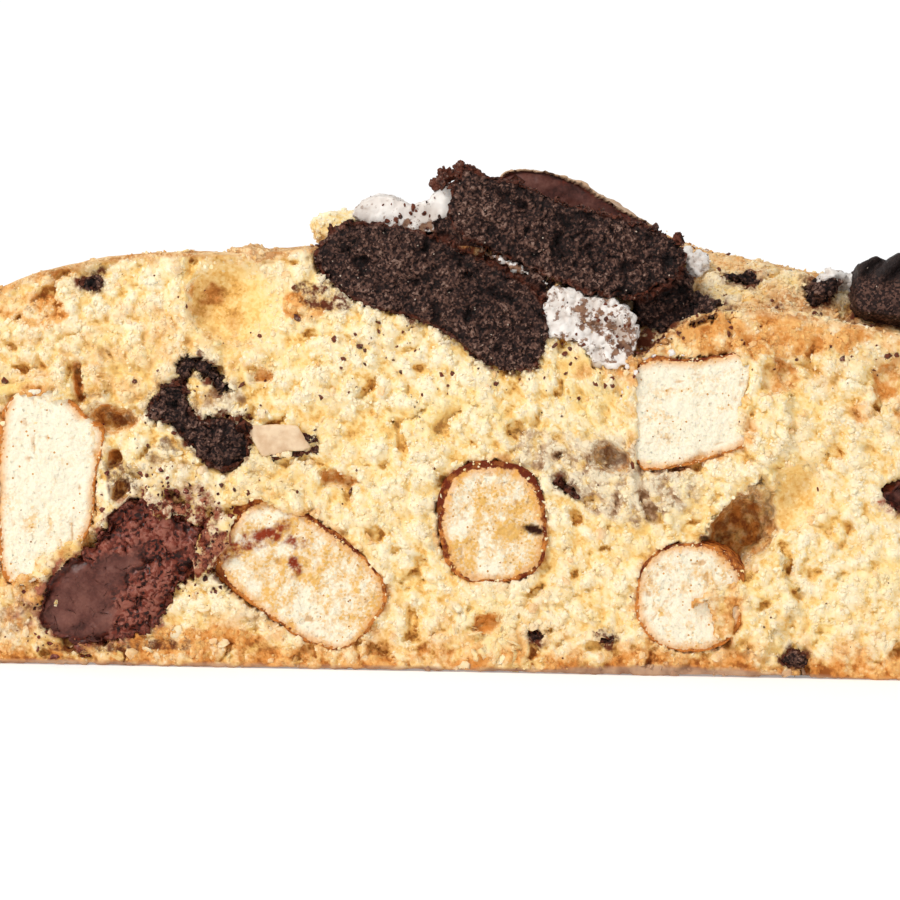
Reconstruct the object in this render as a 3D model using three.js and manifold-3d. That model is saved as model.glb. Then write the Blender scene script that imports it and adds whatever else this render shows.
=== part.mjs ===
// A slice of loaded biscotti standing on its browned base: a crumbly dough body baked round broken
// chocolate sandwich biscuit, pretzel strands, chocolate chunks and small crumbs.
// X runs along the slice, Y from the front cut face (-Y) to the back one (+Y), Z up from the base.
// The origin is the middle of the base. All lengths are millimetres and all angles degrees.
import * as THREE from "three";
import { mergeVertices } from "three/addons/utils/BufferGeometryUtils.js";
import { ImprovedNoise } from "three/addons/math/ImprovedNoise.js";
import Module from "manifold-3d";

const wasm = await Module();
wasm.setup();
const perlin = new ImprovedNoise();

// The slice.
const LENGTH = 92; // end to end
const THICKNESS = 17; // between the two knife cuts
const CROWN = 21.2; // height of the dough at its middle
const CROWN_DROP = 0.45; // share of the crown lost at the very ends
const CROWN_POWER = 2.4; // how suddenly the crown falls towards the ends
const SHOULDER = 40; // half length where the top crust turns into the end
const FOOT = 43.9; // half length where the end meets the base
const GAP = 0.3; // clearance round each piece baked into the dough

// Lie of the top crust.
const MOUND = { x: 4.5, reach: 6.5, rise: 3.2, from: -7, to: -1.5 }; // dough heaped behind the biscuit
const DIP = { left: [5, 9], right: [24, 30], depth: 2.2, from: -8.5, to: -3 }; // low front edge, right of it
const NOTCH = { x: 7.8, reach: 3.2, depth: 3.2 }; // low spot in that edge, under the cream
const SAG = { x: -25, reach: 3, depth: 0.8 }; // shallow hollow across the crust
const CRUST_WAVE = { length: 7.5, height: 0.5 };

// Crumb of the cut faces and the crust.
const CRAG = { length: 4.6, depth: 1.1 };
const GRAIN = { length: 2.1, depth: 0.5 };
const END_CRAG = 0.6;
const POCKET = { square: 2.2, uneven: 0.25 }; // roundness and unevenness of an air pocket's wall

// Steps of the dough's surface grid along, through and up the slice.
const STEPS = { along: 46, through: 7, up: 10 };
const MERGE = 0.05; // edges that leave the surface this true are collapsed

// Biscuit, pretzel and chocolate stock.
const WAFER = 3.9; // thickness of a wafer
const STRAND = 5.4; // thickness of a pretzel strand
const PROUD = 0.6; // how far a piece stood past the knife's plane before it was cut
const RIM_RADIUS = 22; // of a whole wafer, with flutes round its rim
const FLUTE = { pitch: 3.4, depth: 0.34 }; // degrees from flute to flute, and their depth

const COLOURS = {
  dough: 0xefcf96,
  wafer: 0x39292a,
  cream: 0xe9e3d8,
  chocolate: 0x6a433a,
  pretzel: 0xf0d6a4,
  chip: 0xe3cba6,
};
const ROUGHNESS = { dough: 0.9, wafer: 0.85, cream: 0.5, chocolate: 0.45, pretzel: 0.8, chip: 0.5 };

const radians = THREE.MathUtils.degToRad;
const smooth = THREE.MathUtils.smoothstep;

/** Noise from -1 to 1 with the given wavelength; seed picks the pattern. */
const rough = (x, y, z, wavelength, seed = 0) =>
  perlin.noise(x / wavelength + seed * 7.31, y / wavelength - seed * 3.77, z / wavelength + seed * 1.93);

/** A closed geometry as a solid. */
function solid(geometry) {
  const bare = geometry.clone();
  bare.deleteAttribute("normal");
  bare.deleteAttribute("uv");
  const merged = mergeVertices(bare, 1e-4);
  return new wasm.Manifold(
    new wasm.Mesh({
      numProp: 3,
      vertProperties: new Float32Array(merged.attributes.position.array),
      triVerts: new Uint32Array(merged.index.array),
    }),
  );
}

/** Moves every vertex of a geometry by a rule that changes the vector it is given. */
function reshape(geometry, rule) {
  const position = geometry.attributes.position;
  const p = new THREE.Vector3();
  for (let i = 0; i < position.count; i++) {
    p.fromBufferAttribute(position, i);
    rule(p);
    position.setXYZ(i, p.x, p.y, p.z);
  }
  return geometry;
}

/** A solid as a named mesh of one material. */
function node(name, shape, material) {
  const { numProp, numVert, vertProperties, triVerts } = shape.getMesh();
  const points = new Float32Array(numVert * 3);
  for (let i = 0; i < numVert; i++) {
    points.set(vertProperties.subarray(i * numProp, i * numProp + 3), i * 3);
  }
  const geometry = new THREE.BufferGeometry();
  geometry.setAttribute("position", new THREE.BufferAttribute(points, 3));
  geometry.setIndex(new THREE.BufferAttribute(triVerts, 1));
  geometry.computeVertexNormals();
  const finish = new THREE.MeshStandardMaterial({
    color: COLOURS[material],
    roughness: ROUGHNESS[material],
    metalness: 0,
  });
  const mesh = new THREE.Mesh(geometry, finish);
  mesh.name = name;
  return mesh;
}

/** 1 at a feature's middle, fading out over its reach. */
const bell = (x, feature) => Math.exp(-(((x - feature.x) / feature.reach) ** 2));

/** Height of the dough's top crust over a point of the base. */
function crustHeight(x, y) {
  const crown = CROWN * (1 - CROWN_DROP * Math.abs(x / (LENGTH / 2)) ** CROWN_POWER);
  const mound = MOUND.rise * bell(x, MOUND) * smooth(y, MOUND.from, MOUND.to);
  const beside = smooth(x, ...DIP.left) * (1 - smooth(x, ...DIP.right));
  const low = DIP.depth * beside + NOTCH.depth * bell(x, NOTCH);
  const dip = low * (1 - smooth(y, DIP.from, DIP.to));
  const sag = SAG.depth * bell(x, SAG);
  return crown + mound - dip - sag + CRUST_WAVE.height * rough(x, y, 0, CRUST_WAVE.length, 4);
}

/** How far a cut face is torn back from the knife's plane. */
function crag(x, z, seed) {
  const lumps = Math.max(0, 0.35 + rough(x, seed, z, CRAG.length, seed));
  const grains = Math.max(0, rough(x, seed, z, GRAIN.length, seed + 1));
  return CRAG.depth * lumps ** 2 + GRAIN.depth * grains;
}

/** The dough before anything is set in it: a box grid bent to the slice's outline, fullest at mid height. */
function doughBody() {
  const lean = FOOT - SHOULDER;
  const reach = LENGTH / 2 - (FOOT + SHOULDER) / 2;
  const bulge = (reach + Math.sqrt(reach ** 2 - lean ** 2 / 4)) / 2;
  const box = new THREE.BoxGeometry(2, 2, 1, STEPS.along, STEPS.through, STEPS.up);
  return solid(
    reshape(box, (p) => {
      const [u, w, v] = [p.x, p.y, p.z + 0.5];
      const half = FOOT + (SHOULDER - FOOT) * v + 4 * bulge * v * (1 - v);
      const onEnd = Math.abs(u) > 0.999 && v > 0;
      p.x = u * (half - (onEnd ? END_CRAG * Math.abs(rough(u, w * 9, v * 12, 3, 8)) : 0));
      p.z = v * crustHeight(u * SHOULDER, (w * THICKNESS) / 2);
      const torn = Math.abs(w) > 0.999 ? crag(p.x, p.z, w > 0 ? 11 : 5) : 0;
      p.y = w * (THICKNESS / 2 - torn);
    }),
  );
}

/** Turns a solid (pitch about X, tilt about Y, turn about Z) and sets its middle in place. */
const place = (shape, { x, y, z, pitch = 0, tilt = 0, turn = 0 }) =>
  shape.rotate([pitch, -tilt, turn]).translate([x, y, z]);

/** A broken lump: a rounded block (square 2 is an ellipsoid, 8 nearly a box) with an uneven surface. */
function lump({ size, square = 3, uneven = 0.3, wavelength = 2.6, steps = 3, seed = 1 }, grow = 0) {
  const box = new THREE.BoxGeometry(2, 2, 2, steps, steps, steps);
  return solid(
    reshape(box, (p) => {
      const sum = Math.abs(p.x) ** square + Math.abs(p.y) ** square + Math.abs(p.z) ** square;
      p.multiplyScalar(sum ** (-1 / square));
      const out = p.clone().normalize();
      p.multiply(new THREE.Vector3(...size).multiplyScalar(0.5));
      p.addScaledVector(out, grow + uneven * rough(p.x, p.y, p.z, wavelength, seed));
    }),
  );
}

/** An outline's corners, each cut off a few times over, which rounds them. */
function rounded(corners, rounds = 1) {
  let ring = corners;
  for (let i = 0; i < rounds; i++) {
    ring = ring.flatMap(([x, z], k) => {
      const [nextX, nextZ] = ring[(k + 1) % ring.length];
      return [0.25, 0.75].map((share) => [x + share * (nextX - x), z + share * (nextZ - z)]);
    });
  }
  return ring;
}

/** An oval outline: square 2 is an ellipse and 8 nearly a rectangle. */
function oval([wide, high], square, slope = 0, sides = 18) {
  const ring = [];
  for (let i = 0; i < sides; i++) {
    const [c, s] = [Math.cos((2 * Math.PI * i) / sides), Math.sin((2 * Math.PI * i) / sides)];
    const reach = (Math.abs(c) ** square + Math.abs(s) ** square) ** (-1 / square);
    const [x, z] = [(c * reach * wide) / 2, (s * reach * high) / 2];
    const turn = radians(slope);
    ring.push([x * Math.cos(turn) - z * Math.sin(turn), x * Math.sin(turn) + z * Math.cos(turn)]);
  }
  return ring;
}

/** A piece with one outline all the way in: it runs back to an uneven end, moving sideways and up by drift. */
function slab({ ring, deep, drift = [0, 0], taper = 1, uneven = 0.15, seed = 1 }, grow = 0) {
  const layers = Math.max(1, Math.round(deep / 5));
  const outline = new wasm.CrossSection([ring], "EvenOdd").offset(grow, "Miter");
  const block = outline.extrude(deep + 2 * grow, layers, 0, [taper, taper]);
  return block
    .rotate([90, 0, 0])
    .mirror([0, 1, 0])
    .translate([0, -grow, 0])
    .warp((v) => {
      const [x, y, z] = v;
      v[0] += drift[0] * (y - PROUD) + uneven * rough(x, y, z, 2.6, seed);
      v[1] += (y / deep) * 3 * uneven * rough(x, z, 0, 2.2, seed);
      v[2] += drift[1] * (y - PROUD) + uneven * rough(z, x, y, 2.6, seed + 1);
    });
}

/** A pretzel strand along Y, slightly squared, with broken ends. */
function strand({ thick = STRAND, long = THICKNESS + 4, square = 2.5, uneven = 0.16, seed = 1 }, grow = 0) {
  const sides = 16;
  const rod = new THREE.CylinderGeometry(1, 1, 1, sides, Math.max(1, Math.round(long / 5)));
  return solid(
    reshape(rod, (p) => {
      const sum = Math.abs(p.x) ** square + Math.abs(p.z) ** square;
      const along = p.y * (long + 2 * grow) * (1 + 0.1 * rough(p.x * 2, p.y, p.z * 2, 1.3, seed));
      const across = sum > 0.5 ? (thick / 2 + grow) * sum ** (-1 / square) : 0;
      const swell = across && uneven * rough(p.x * 2, along, p.z * 2, 2.4, seed);
      p.set(p.x * (across + swell), along, p.z * (across + swell));
    }),
  );
}

/** A piece of a whole wafer's fluted rim, its flat face up and its rim towards the front. */
function flutedRim({ spread = 17, wide = 4.6, seed = 1 }, grow = 0) {
  const outline = new THREE.Shape();
  const steps = Math.round((spread / FLUTE.pitch) * 6);
  const middle = RIM_RADIUS - wide / 2;
  for (let i = 0; i <= steps; i++) {
    const angle = (i / steps - 0.5) * spread;
    const flute = FLUTE.depth * Math.abs(Math.cos((Math.PI * angle) / FLUTE.pitch));
    const r = RIM_RADIUS - FLUTE.depth + flute;
    outline.lineTo(r * Math.sin(radians(angle)), middle - r * Math.cos(radians(angle)));
  }
  for (let i = 0; i <= 5; i++) {
    const angle = (0.5 - i / 5) * spread * 0.85;
    const r = RIM_RADIUS - wide * (1 + 0.22 * rough(i, seed, 0, 1.7, seed));
    outline.lineTo(r * Math.sin(radians(angle)), middle - r * Math.cos(radians(angle)));
  }
  outline.curves.shift();
  const bevel = 0.7;
  const block = new THREE.ExtrudeGeometry(outline, {
    depth: WAFER - 2 * bevel + 2 * grow,
    bevelThickness: bevel,
    bevelSize: grow || 0.001,
    bevelOffset: 0,
    bevelSegments: 1,
    curveSegments: 1,
  });
  return solid(block.translate(0, 0, -(WAFER - 2 * bevel + 2 * grow) / 2));
}

const front = -THICKNESS / 2;
const back = THICKNESS / 2;

// Every piece baked into the dough or lying on it, in the order in which each gives way to those before it.
const pieces = [
  // The broken sandwich biscuit on the crown: two wafers, and cream squeezed out at both ends.
  {
    name: "wafer_upper", material: "wafer", make: slab, deep: 9, taper: 0.92, seed: 2, uneven: 0.25,
    x: 5.4, y: front - PROUD, z: 21.2,
    ring: rounded([
      [-6.5, 1.0], [-5.4, 4.3], [-2.4, 3.6], [0.0, 2.4], [4.2, 1.5], [6.4, 0.0],
      [6.5, -2.9], [5.0, -4.3], [3.2, -2.9], [0.0, -1.7], [-3.3, -0.5],
    ]),
  },
  {
    name: "wafer_lower", material: "wafer", make: slab, deep: 8.6, taper: 0.92, seed: 3, uneven: 0.25,
    x: -1.4, y: front - PROUD, z: 18.9,
    ring: rounded([
      [-6.2, 1.7], [-4.9, 3.4], [-3.0, 3.7], [0.4, 3.1], [5.2, 0.7], [6.3, -1.2],
      [5.9, -3.4], [4.4, -4.1], [2.4, -3.5], [0.6, -1.7], [-2.2, -1.1], [-4.6, -0.2],
    ]),
  },
  {
    name: "cream_left", material: "cream", make: slab, deep: 6, taper: 0.8, seed: 4,
    x: -2.8, y: front + 0.7, z: 22.9,
    ring: rounded([[-2.7, -0.5], [-1.9, 0.6], [-0.9, 1.2], [0.6, 0.2], [2.3, 1.4], [3.0, -0.6], [0.2, -1.2]]),
  },
  {
    name: "cream_right", material: "cream", make: slab, deep: 6.6, taper: 0.8, seed: 5,
    x: 6.8, y: front - PROUD, z: 17.3,
    ring: rounded([
      [-2.5, 2.3], [0.0, 2.0], [2.6, 0.4], [1.8, -1.8], [0.4, -2.0], [-0.6, -0.6], [-2.4, -0.6],
    ]),
  },
  // A fluted piece of wafer rim leaning on the crust, with a crumb of wafer beside it.
  {
    name: "wafer_rim", material: "wafer", make: flutedRim,
    x: 22.9, y: front + 2.9, z: 19.4, tilt: -10, pitch: -14,
  },
  {
    name: "bit_beside_rim", material: "wafer", make: lump, size: [1.9, 2.2, 1.4], steps: 2, seed: 6,
    x: 18.5, y: front + 2.7, z: 19.4, tilt: 30,
  },
  {
    name: "melted_chocolate", material: "chocolate", make: slab, deep: 5, taper: 0.75, seed: 7,
    x: 6.0, y: front + 5.6, z: 23.8,
    ring: rounded([
      [-4.4, 1.1], [-2.4, 1.8], [-0.5, 1.2], [2.2, -0.1], [4.6, -1.4], [2.6, -2.0], [-3.8, -0.6],
    ]),
  },
  // Pretzel strands in the front face.
  {
    name: "pretzel_left", material: "pretzel", make: slab, deep: 4.2, seed: 8,
    x: -20.2, y: front - PROUD, z: 8.8,
    ring: rounded([
      [-2.2, 5.0], [0.7, 4.9], [1.7, 3.4], [2.9, 3.1], [2.2, 0.2], [2.2, -2.2], [0.3, -4.0],
      [-1.8, -5.2], [-2.6, -3.4], [-2.6, 1.8],
    ]),
  },
  {
    name: "pretzel_low_left", material: "pretzel", make: slab, deep: 6.4, drift: [-1.0, 0.68], seed: 9,
    x: -7.5, y: front - PROUD, z: 4.7, ring: oval([8.8, 5.4], 3.2, -34),
  },
  {
    name: "pretzel_middle", material: "pretzel", make: slab, deep: THICKNESS + 2 * PROUD,
    drift: [-0.08, 0.02], seed: 10, x: 2.0, y: front - PROUD, z: 7.5, ring: oval([STRAND, 6.1], 2.7, 4),
  },
  {
    name: "pretzel_low_right", material: "pretzel", make: slab, deep: 8, drift: [0.25, 0], seed: 11,
    x: 11.9, y: front - PROUD, z: 3.95, ring: oval([STRAND, 5.5], 2.4),
  },
  {
    name: "pretzel_high_right", material: "pretzel", make: slab, deep: 4.4, seed: 12,
    x: 12.0, y: front - PROUD, z: 13.3,
    ring: rounded([
      [-3.3, 2.9], [0.0, 2.5], [3.0, 3.4], [2.7, 1.7], [2.1, -0.2], [3.0, -1.7], [0.4, -2.5],
      [-2.6, -3.3], [-3.1, -2.2],
    ]),
  },
  // Chocolate, wafer and chip in the front face.
  {
    name: "chocolate_chunk", material: "chocolate", make: slab, deep: 5.4, taper: 0.75, seed: 13,
    x: -16.6, y: front - PROUD, z: 4.4,
    ring: rounded([
      [-4.5, -1.7], [-3.0, 0.6], [-1.4, 1.5], [0.0, 3.9], [1.4, 4.1], [4.5, 2.2],
      [4.5, 0.8], [2.8, -0.4], [2.0, -2.5], [-1.3, -3.6], [-3.8, -3.0],
    ]),
  },
  {
    name: "wafer_fragment", material: "wafer", make: slab, deep: 4, taper: 0.8, seed: 14,
    x: -12.7, y: front - PROUD, z: 12.1,
    ring: rounded([
      [-2.9, 0.9], [-1.9, 2.4], [-0.7, 2.2], [-0.1, 0.2], [0.8, 0.7], [2.2, 0.2],
      [2.9, -1.6], [1.6, -2.5], [0.0, -1.9], [-1.4, -0.2], [-2.7, 0.1],
    ]),
  },
  {
    name: "pale_chip", material: "chip", make: slab, deep: 2.6, taper: 0.8, uneven: 0.05, seed: 15,
    x: -8.8, y: front - PROUD, z: 11.4,
    ring: rounded([[-1.7, 0.8], [1.0, 0.8], [1.7, -0.3], [-0.9, -0.9]]),
  },
  // Crumbs of wafer and chocolate large enough to stand out.
  {
    name: "bit_valley", material: "wafer", make: lump, size: [1.7, 1.9, 1.4], steps: 2, seed: 16,
    x: 12.4, y: front + 1.5, z: 18.4, tilt: 20,
  },
  {
    name: "bit_crest", material: "wafer", make: lump, size: [1.8, 1.8, 0.9], steps: 2, seed: 17,
    x: 14.5, y: front + 3.1, z: 20.0, tilt: -12,
  },
  {
    name: "bit_high_left", material: "wafer", make: lump, size: [1.4, 1.6, 1.1], steps: 2, seed: 18,
    x: -18.2, y: front + 0.5, z: 19.0, tilt: 8,
  },
  {
    name: "bit_middle", material: "wafer", make: lump, size: [2.1, 2, 1.1], steps: 2, seed: 19,
    x: 5.7, y: front + 0.6, z: 9.2, tilt: -24,
  },
  {
    name: "bit_low_left", material: "wafer", make: lump, size: [1.3, 1.6, 1.2], steps: 2, seed: 20,
    x: 4.3, y: front + 0.5, z: 1.9,
  },
  {
    name: "bit_low_right", material: "wafer", make: lump, size: [1.1, 1.6, 1.1], steps: 2, seed: 21,
    x: 7.9, y: front + 0.5, z: 1.8,
  },
  {
    name: "bit_base", material: "wafer", make: lump, size: [1.8, 2, 1.0], steps: 2, seed: 22,
    x: 17.3, y: front + 0.7, z: 0.95, tilt: 10,
  },
  {
    name: "bit_right", material: "chocolate", make: lump, size: [1.7, 2, 1.8], steps: 2, seed: 23,
    x: 22.8, y: front + 0.6, z: 9.3, tilt: 20,
  },
  // Both ends, past the middle of the slice.
  {
    name: "pretzel_far_left", material: "pretzel", make: strand, thick: 5.2, long: 22, seed: 24,
    x: -31.6, y: front, z: 6.0, turn: -22, pitch: 6,
  },
  {
    name: "pretzel_far_right", material: "pretzel", make: lump, size: [7.8, 5.5, 5.4], square: 5,
    uneven: 0.3, seed: 25, x: 33.2, y: front + 0.9, z: 6.6, tilt: 38,
  },
  {
    name: "chocolate_far_right", material: "chocolate", make: lump, size: [6.4, 6.5, 4.3], square: 3,
    uneven: 0.45, seed: 26, x: 27.6, y: front + 1.5, z: 11.6, tilt: -18,
  },
  {
    name: "chocolate_far_left", material: "chocolate", make: lump, size: [4.2, 5, 3.4], square: 3,
    uneven: 0.4, seed: 27, x: -38.2, y: front + 1.4, z: 9.1, tilt: 30,
  },
  {
    name: "wafer_far_left", material: "wafer", make: lump, size: [8.4, 7.2, 3.8], square: 5,
    uneven: 0.5, seed: 28, x: -30.2, y: front + 3.3, z: 16.4, tilt: 19,
  },
  {
    name: "wafer_far_right", material: "wafer", make: lump, size: [4.6, 4.6, 2.4], square: 2.8, uneven: 0.5,
    wavelength: 1.9, seed: 29, x: 38.2, y: front + 1.5, z: 3.9, tilt: 28,
  },
  // The back face and the crust behind the crown.
  {
    name: "pretzel_back_left", material: "pretzel", make: lump, size: [8.8, 5.3, 5.2], square: 5, uneven: 0.3,
    seed: 30, x: -14.6, y: back - 1.1, z: 12.4, tilt: -24,
  },
  {
    name: "pretzel_back_right", material: "pretzel", make: strand, thick: 5.4, long: 9, seed: 31,
    x: 25.6, y: back, z: 5.6, turn: 12, pitch: 8,
  },
  {
    name: "chocolate_back", material: "chocolate", make: lump, size: [7.4, 6.6, 4.6], square: 3, uneven: 0.45,
    seed: 32, x: 12.2, y: back - 1.7, z: 14.4, tilt: -16,
  },
  {
    name: "chocolate_back_left", material: "chocolate", make: lump, size: [5.2, 5, 3.6], square: 3,
    uneven: 0.4, seed: 33, x: -22.4, y: back - 1.4, z: 5.0, tilt: 20,
  },
  {
    name: "wafer_back", material: "wafer", make: lump, size: [7.2, 6, 3.2], square: 3.4, uneven: 0.5,
    wavelength: 2.1, seed: 34, x: -5.2, y: back - 1.6, z: 15.2, tilt: 14,
  },
  {
    name: "wafer_crust", material: "wafer", make: lump, size: [6.2, 5.2, 3.2], square: 4,
    uneven: 0.45, seed: 35, x: -34.2, y: back - 5.0, z: 16.2, tilt: 26, turn: 30,
  },
  {
    name: "pretzel_crust", material: "pretzel", make: strand, thick: 5.0, long: 7.4, square: 2.5, seed: 36,
    x: 27.6, y: back - 5.6, z: 17.0, turn: -62, pitch: -14,
  },
];

// Air pockets torn open by the knife, as ellipsoids sunk into the front and back faces.
const pockets = [
  { size: [2.9, 5.2, 6.4], x: 14.9, y: front, z: 7.3, tilt: -38 },
  { size: [3.6, 2.6, 3.6], x: 17.0, y: front - 0.3, z: 9.0, tilt: -24 },
  { size: [5.8, 2.2, 3.6], x: -10.9, y: front - 0.3, z: 18.2, tilt: -8 },
  { size: [2.3, 2.4, 1.4], x: -17.2, y: front, z: 12.4, tilt: 10 },
  { size: [3.2, 2.0, 1.3], x: -1.4, y: front - 0.2, z: 13.0, tilt: -12 },
  { size: [4.4, 3.4, 2.4], x: -26.2, y: front, z: 11.6, tilt: 30 },
  { size: [3.4, 4.0, 3.0], x: 37.2, y: front, z: 9.0, tilt: -20 },
  { size: [4.6, 3.8, 3.2], x: 3.6, y: back, z: 9.0, tilt: 24 },
  { size: [3.2, 3.2, 2.2], x: -33.0, y: back, z: 10.4, tilt: -30 },
  { size: [3.0, 3.0, 4.0], x: 34.4, y: back, z: 8.2, tilt: 12 },
];

const knife = solid(new THREE.BoxGeometry(LENGTH, THICKNESS, 4 * CROWN));
const largest = (shape) => shape.decompose().reduce((a, b) => (a.volume() > b.volume() ? a : b));

const slice = new THREE.Group();
let dough = doughBody();
for (const pocket of pockets) {
  dough = dough.subtract(place(lump({ size: pocket.size, ...POCKET }), pocket));
}
const seats = [];
for (const piece of pieces) {
  const seat = place(piece.make(piece, GAP), piece);
  let shape = place(piece.make(piece), piece).intersect(knife);
  for (const taken of seats) {
    shape = shape.subtract(taken);
  }
  slice.add(node(piece.name, largest(shape), piece.material));
  seats.push(seat);
  dough = dough.subtract(seat);
}
slice.add(node("crumb", largest(dough.simplify(MERGE)), "dough"));

export default slice;
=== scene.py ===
"""Dresses a slice of loaded biscotti that stands on its browned base.

The dough has a torn crumb on both cut faces, a thin baked crust over the dome and a brown skin below. Set in
it are a broken sandwich biscuit with its cream, pretzel strands, chocolate, a pale chip and crumbs of all of
them. X runs along the slice, Y from the front cut face to the back one, and Z up from the base. Shapes are
worked out in millimetres and turned into metres when a mesh is finished.
"""

import logging
import math
from collections import defaultdict
from collections.abc import Callable, Iterable, Mapping, Sequence
from dataclasses import dataclass, field
from enum import Enum
from typing import ClassVar, NamedTuple

import bmesh
import bpy
import numpy as np
from mathutils import Euler, Matrix, Vector, noise
from mathutils.bvhtree import BVHTree
from mathutils.kdtree import KDTree


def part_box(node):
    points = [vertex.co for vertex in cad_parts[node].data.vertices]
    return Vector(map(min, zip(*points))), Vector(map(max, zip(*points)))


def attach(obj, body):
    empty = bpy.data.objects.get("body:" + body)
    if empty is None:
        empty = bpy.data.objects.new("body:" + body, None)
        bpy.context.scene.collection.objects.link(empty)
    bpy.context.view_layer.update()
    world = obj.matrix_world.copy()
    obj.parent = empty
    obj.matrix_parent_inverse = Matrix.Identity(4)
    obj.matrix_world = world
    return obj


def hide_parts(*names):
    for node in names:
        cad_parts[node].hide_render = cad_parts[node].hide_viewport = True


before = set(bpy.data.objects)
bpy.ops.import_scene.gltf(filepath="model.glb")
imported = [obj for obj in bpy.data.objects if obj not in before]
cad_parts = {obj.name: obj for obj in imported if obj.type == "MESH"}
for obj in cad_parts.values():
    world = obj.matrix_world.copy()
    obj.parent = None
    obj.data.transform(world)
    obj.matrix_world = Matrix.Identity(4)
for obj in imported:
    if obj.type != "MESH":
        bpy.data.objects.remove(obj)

LOG = logging.getLogger("biscotti")
MM = 0.001
BODY = "root"
NOISE_SEED = 7  # left unset, noise_vector's offsets follow the clock and every run differs a little
FRONT, BACK = -1, 1  # the cut faces, by the way each faces along Y

Colour = tuple[float, float, float, float]
Triple = tuple[float, float, float]
Ring = list[tuple[float, float]]
Material = bpy.types.Material
Mesh = bmesh.types.BMesh
Node = bpy.types.Node
Piece = bpy.types.Object
Socket = bpy.types.NodeSocket
Tree = bpy.types.NodeTree


class Stock(Enum):
    """What a piece is made of."""

    DOUGH = "dough"
    WAFER = "wafer"
    CREAM = "cream"
    CHOCOLATE = "chocolate"
    PRETZEL = "pretzel"
    CHIP = "chip"


Materials = Mapping[Stock, Material]


class Touch(NamedTuple):
    """What a surface does at one point: how far it stands out, and the marks its finish reads."""

    height: float
    marks: dict[str, float]


# ---- Numbers and noise ----


def srgb(red: int, green: int, blue: int) -> Colour:
    """A screen colour, 0 to 255 a channel, as linear light."""
    share = (channel / 255 for channel in (red, green, blue))
    linear = (c / 12.92 if c <= 0.04045 else ((c + 0.055) / 1.055) ** 2.4 for c in share)
    return (*linear, 1.0)


def clamp(value: float) -> float:
    """A value held between 0 and 1."""
    return min(1.0, max(0.0, value))


def smooth(value: float, low: float, high: float) -> float:
    """0 at low, 1 at high and an eased step between them; low may be the larger."""
    t = clamp((value - low) / (high - low))
    return t * t * (3 - 2 * t)


def bell(value: float, middle: float, width: float) -> float:
    """1 at middle, falling away on both sides as a bell does."""
    return math.exp(-(((value - middle) / width) ** 2))


def wave(p: Vector, size: float, seed: float = 0.0) -> float:
    """Noise from -1 to 1 whose features are about size across."""
    return noise.noise(p / size + Vector((seed * 7.3, seed * 3.1, -seed * 5.7)))


def warp(p: Vector, size: float, reach: float) -> Vector:
    """A point moved about by up to reach, so that a pattern read there loses its regularity."""
    return p + noise.noise_vector(p / size) * reach


def rough(p: Vector, size: float, seed: float = 0.0, octaves: float = 4.0) -> float:
    """Ragged noise, about -1 to 1, with detail down to an eighth of its size."""
    place = p / size + Vector((seed * 3.7, -seed * 5.3, seed * 8.1))
    return 0.9 * noise.fractal(place, 0.75, 2.1, octaves)


def grains(p: Vector, size: float, crease: float = 0.2) -> float:
    """Packed rounded grains: 1 on top of a grain, 0 in the creases between them.

    Args:
        p: The point.
        size: About how far apart the grains are.
        crease: Width of the creases, as a share of size.

    Returns:
        The height there, 0 to 1.
    """
    near, following = noise.voronoi(p / size)[0][:2]
    return max(0.0, 1 - 1.2 * near * near) * smooth(following - near, 0.0, crease)


# ---- Meshes ----


def box_grid(counts: tuple[int, int, int]) -> Mesh:
    """A box from -1 to 1 whose sides are cut into a regular grid.

    Args:
        counts: Faces along X, Y and Z.

    Returns:
        The new mesh.
    """
    mesh = bmesh.new()
    bmesh.ops.create_cube(mesh, size=2.0)
    for axis, count in enumerate(counts):
        if count > 1:
            along = [e for e in mesh.edges if abs(e.verts[0].co[axis] - e.verts[1].co[axis]) > 1e-6]
            bmesh.ops.subdivide_edges(mesh, edges=along, cuts=count - 1, use_grid_fill=True)
    return mesh


def refine(mesh: Mesh, wanted: Callable[[Vector], bool]) -> None:
    """Halves the edges of every face whose middle is wanted."""
    edges = {edge for face in mesh.faces if wanted(face.calc_center_median()) for edge in face.edges}
    bmesh.ops.subdivide_edges(mesh, edges=list(edges), cuts=1, use_grid_fill=True, use_single_edge=True)


def rounded(corners: Sequence[tuple[float, float]], rounds: int = 2) -> Ring:
    """An outline's corners, each cut off a few times over, which rounds them."""
    ring = list(corners)
    for _ in range(rounds):
        pairs = zip(ring, ring[1:] + ring[:1])
        ring = [(x + t * (u - x), z + t * (w - z)) for (x, z), (u, w) in pairs for t in (0.25, 0.75)]
    return ring


def oval(wide: float, high: float, square: float, slope: float = 0.0, sides: int = 40) -> Ring:
    """An oval outline: square 2 is an ellipse and 8 nearly a rectangle; slope turns it anticlockwise."""
    ring = []
    lean = math.radians(slope)
    for step in range(sides):
        angle = 2 * math.pi * step / sides
        across, up = math.cos(angle), math.sin(angle)
        reach = (abs(across) ** square + abs(up) ** square) ** (-1 / square)
        x, z = across * reach * wide / 2, up * reach * high / 2
        ring.append((x * math.cos(lean) - z * math.sin(lean), x * math.sin(lean) + z * math.cos(lean)))
    return ring


def add_object(name: str, data: bpy.types.ID) -> Piece:
    """Puts a mesh, lamp or camera in the scene."""
    item = bpy.data.objects.new(name, data)
    bpy.context.collection.objects.link(item)
    return item


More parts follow.
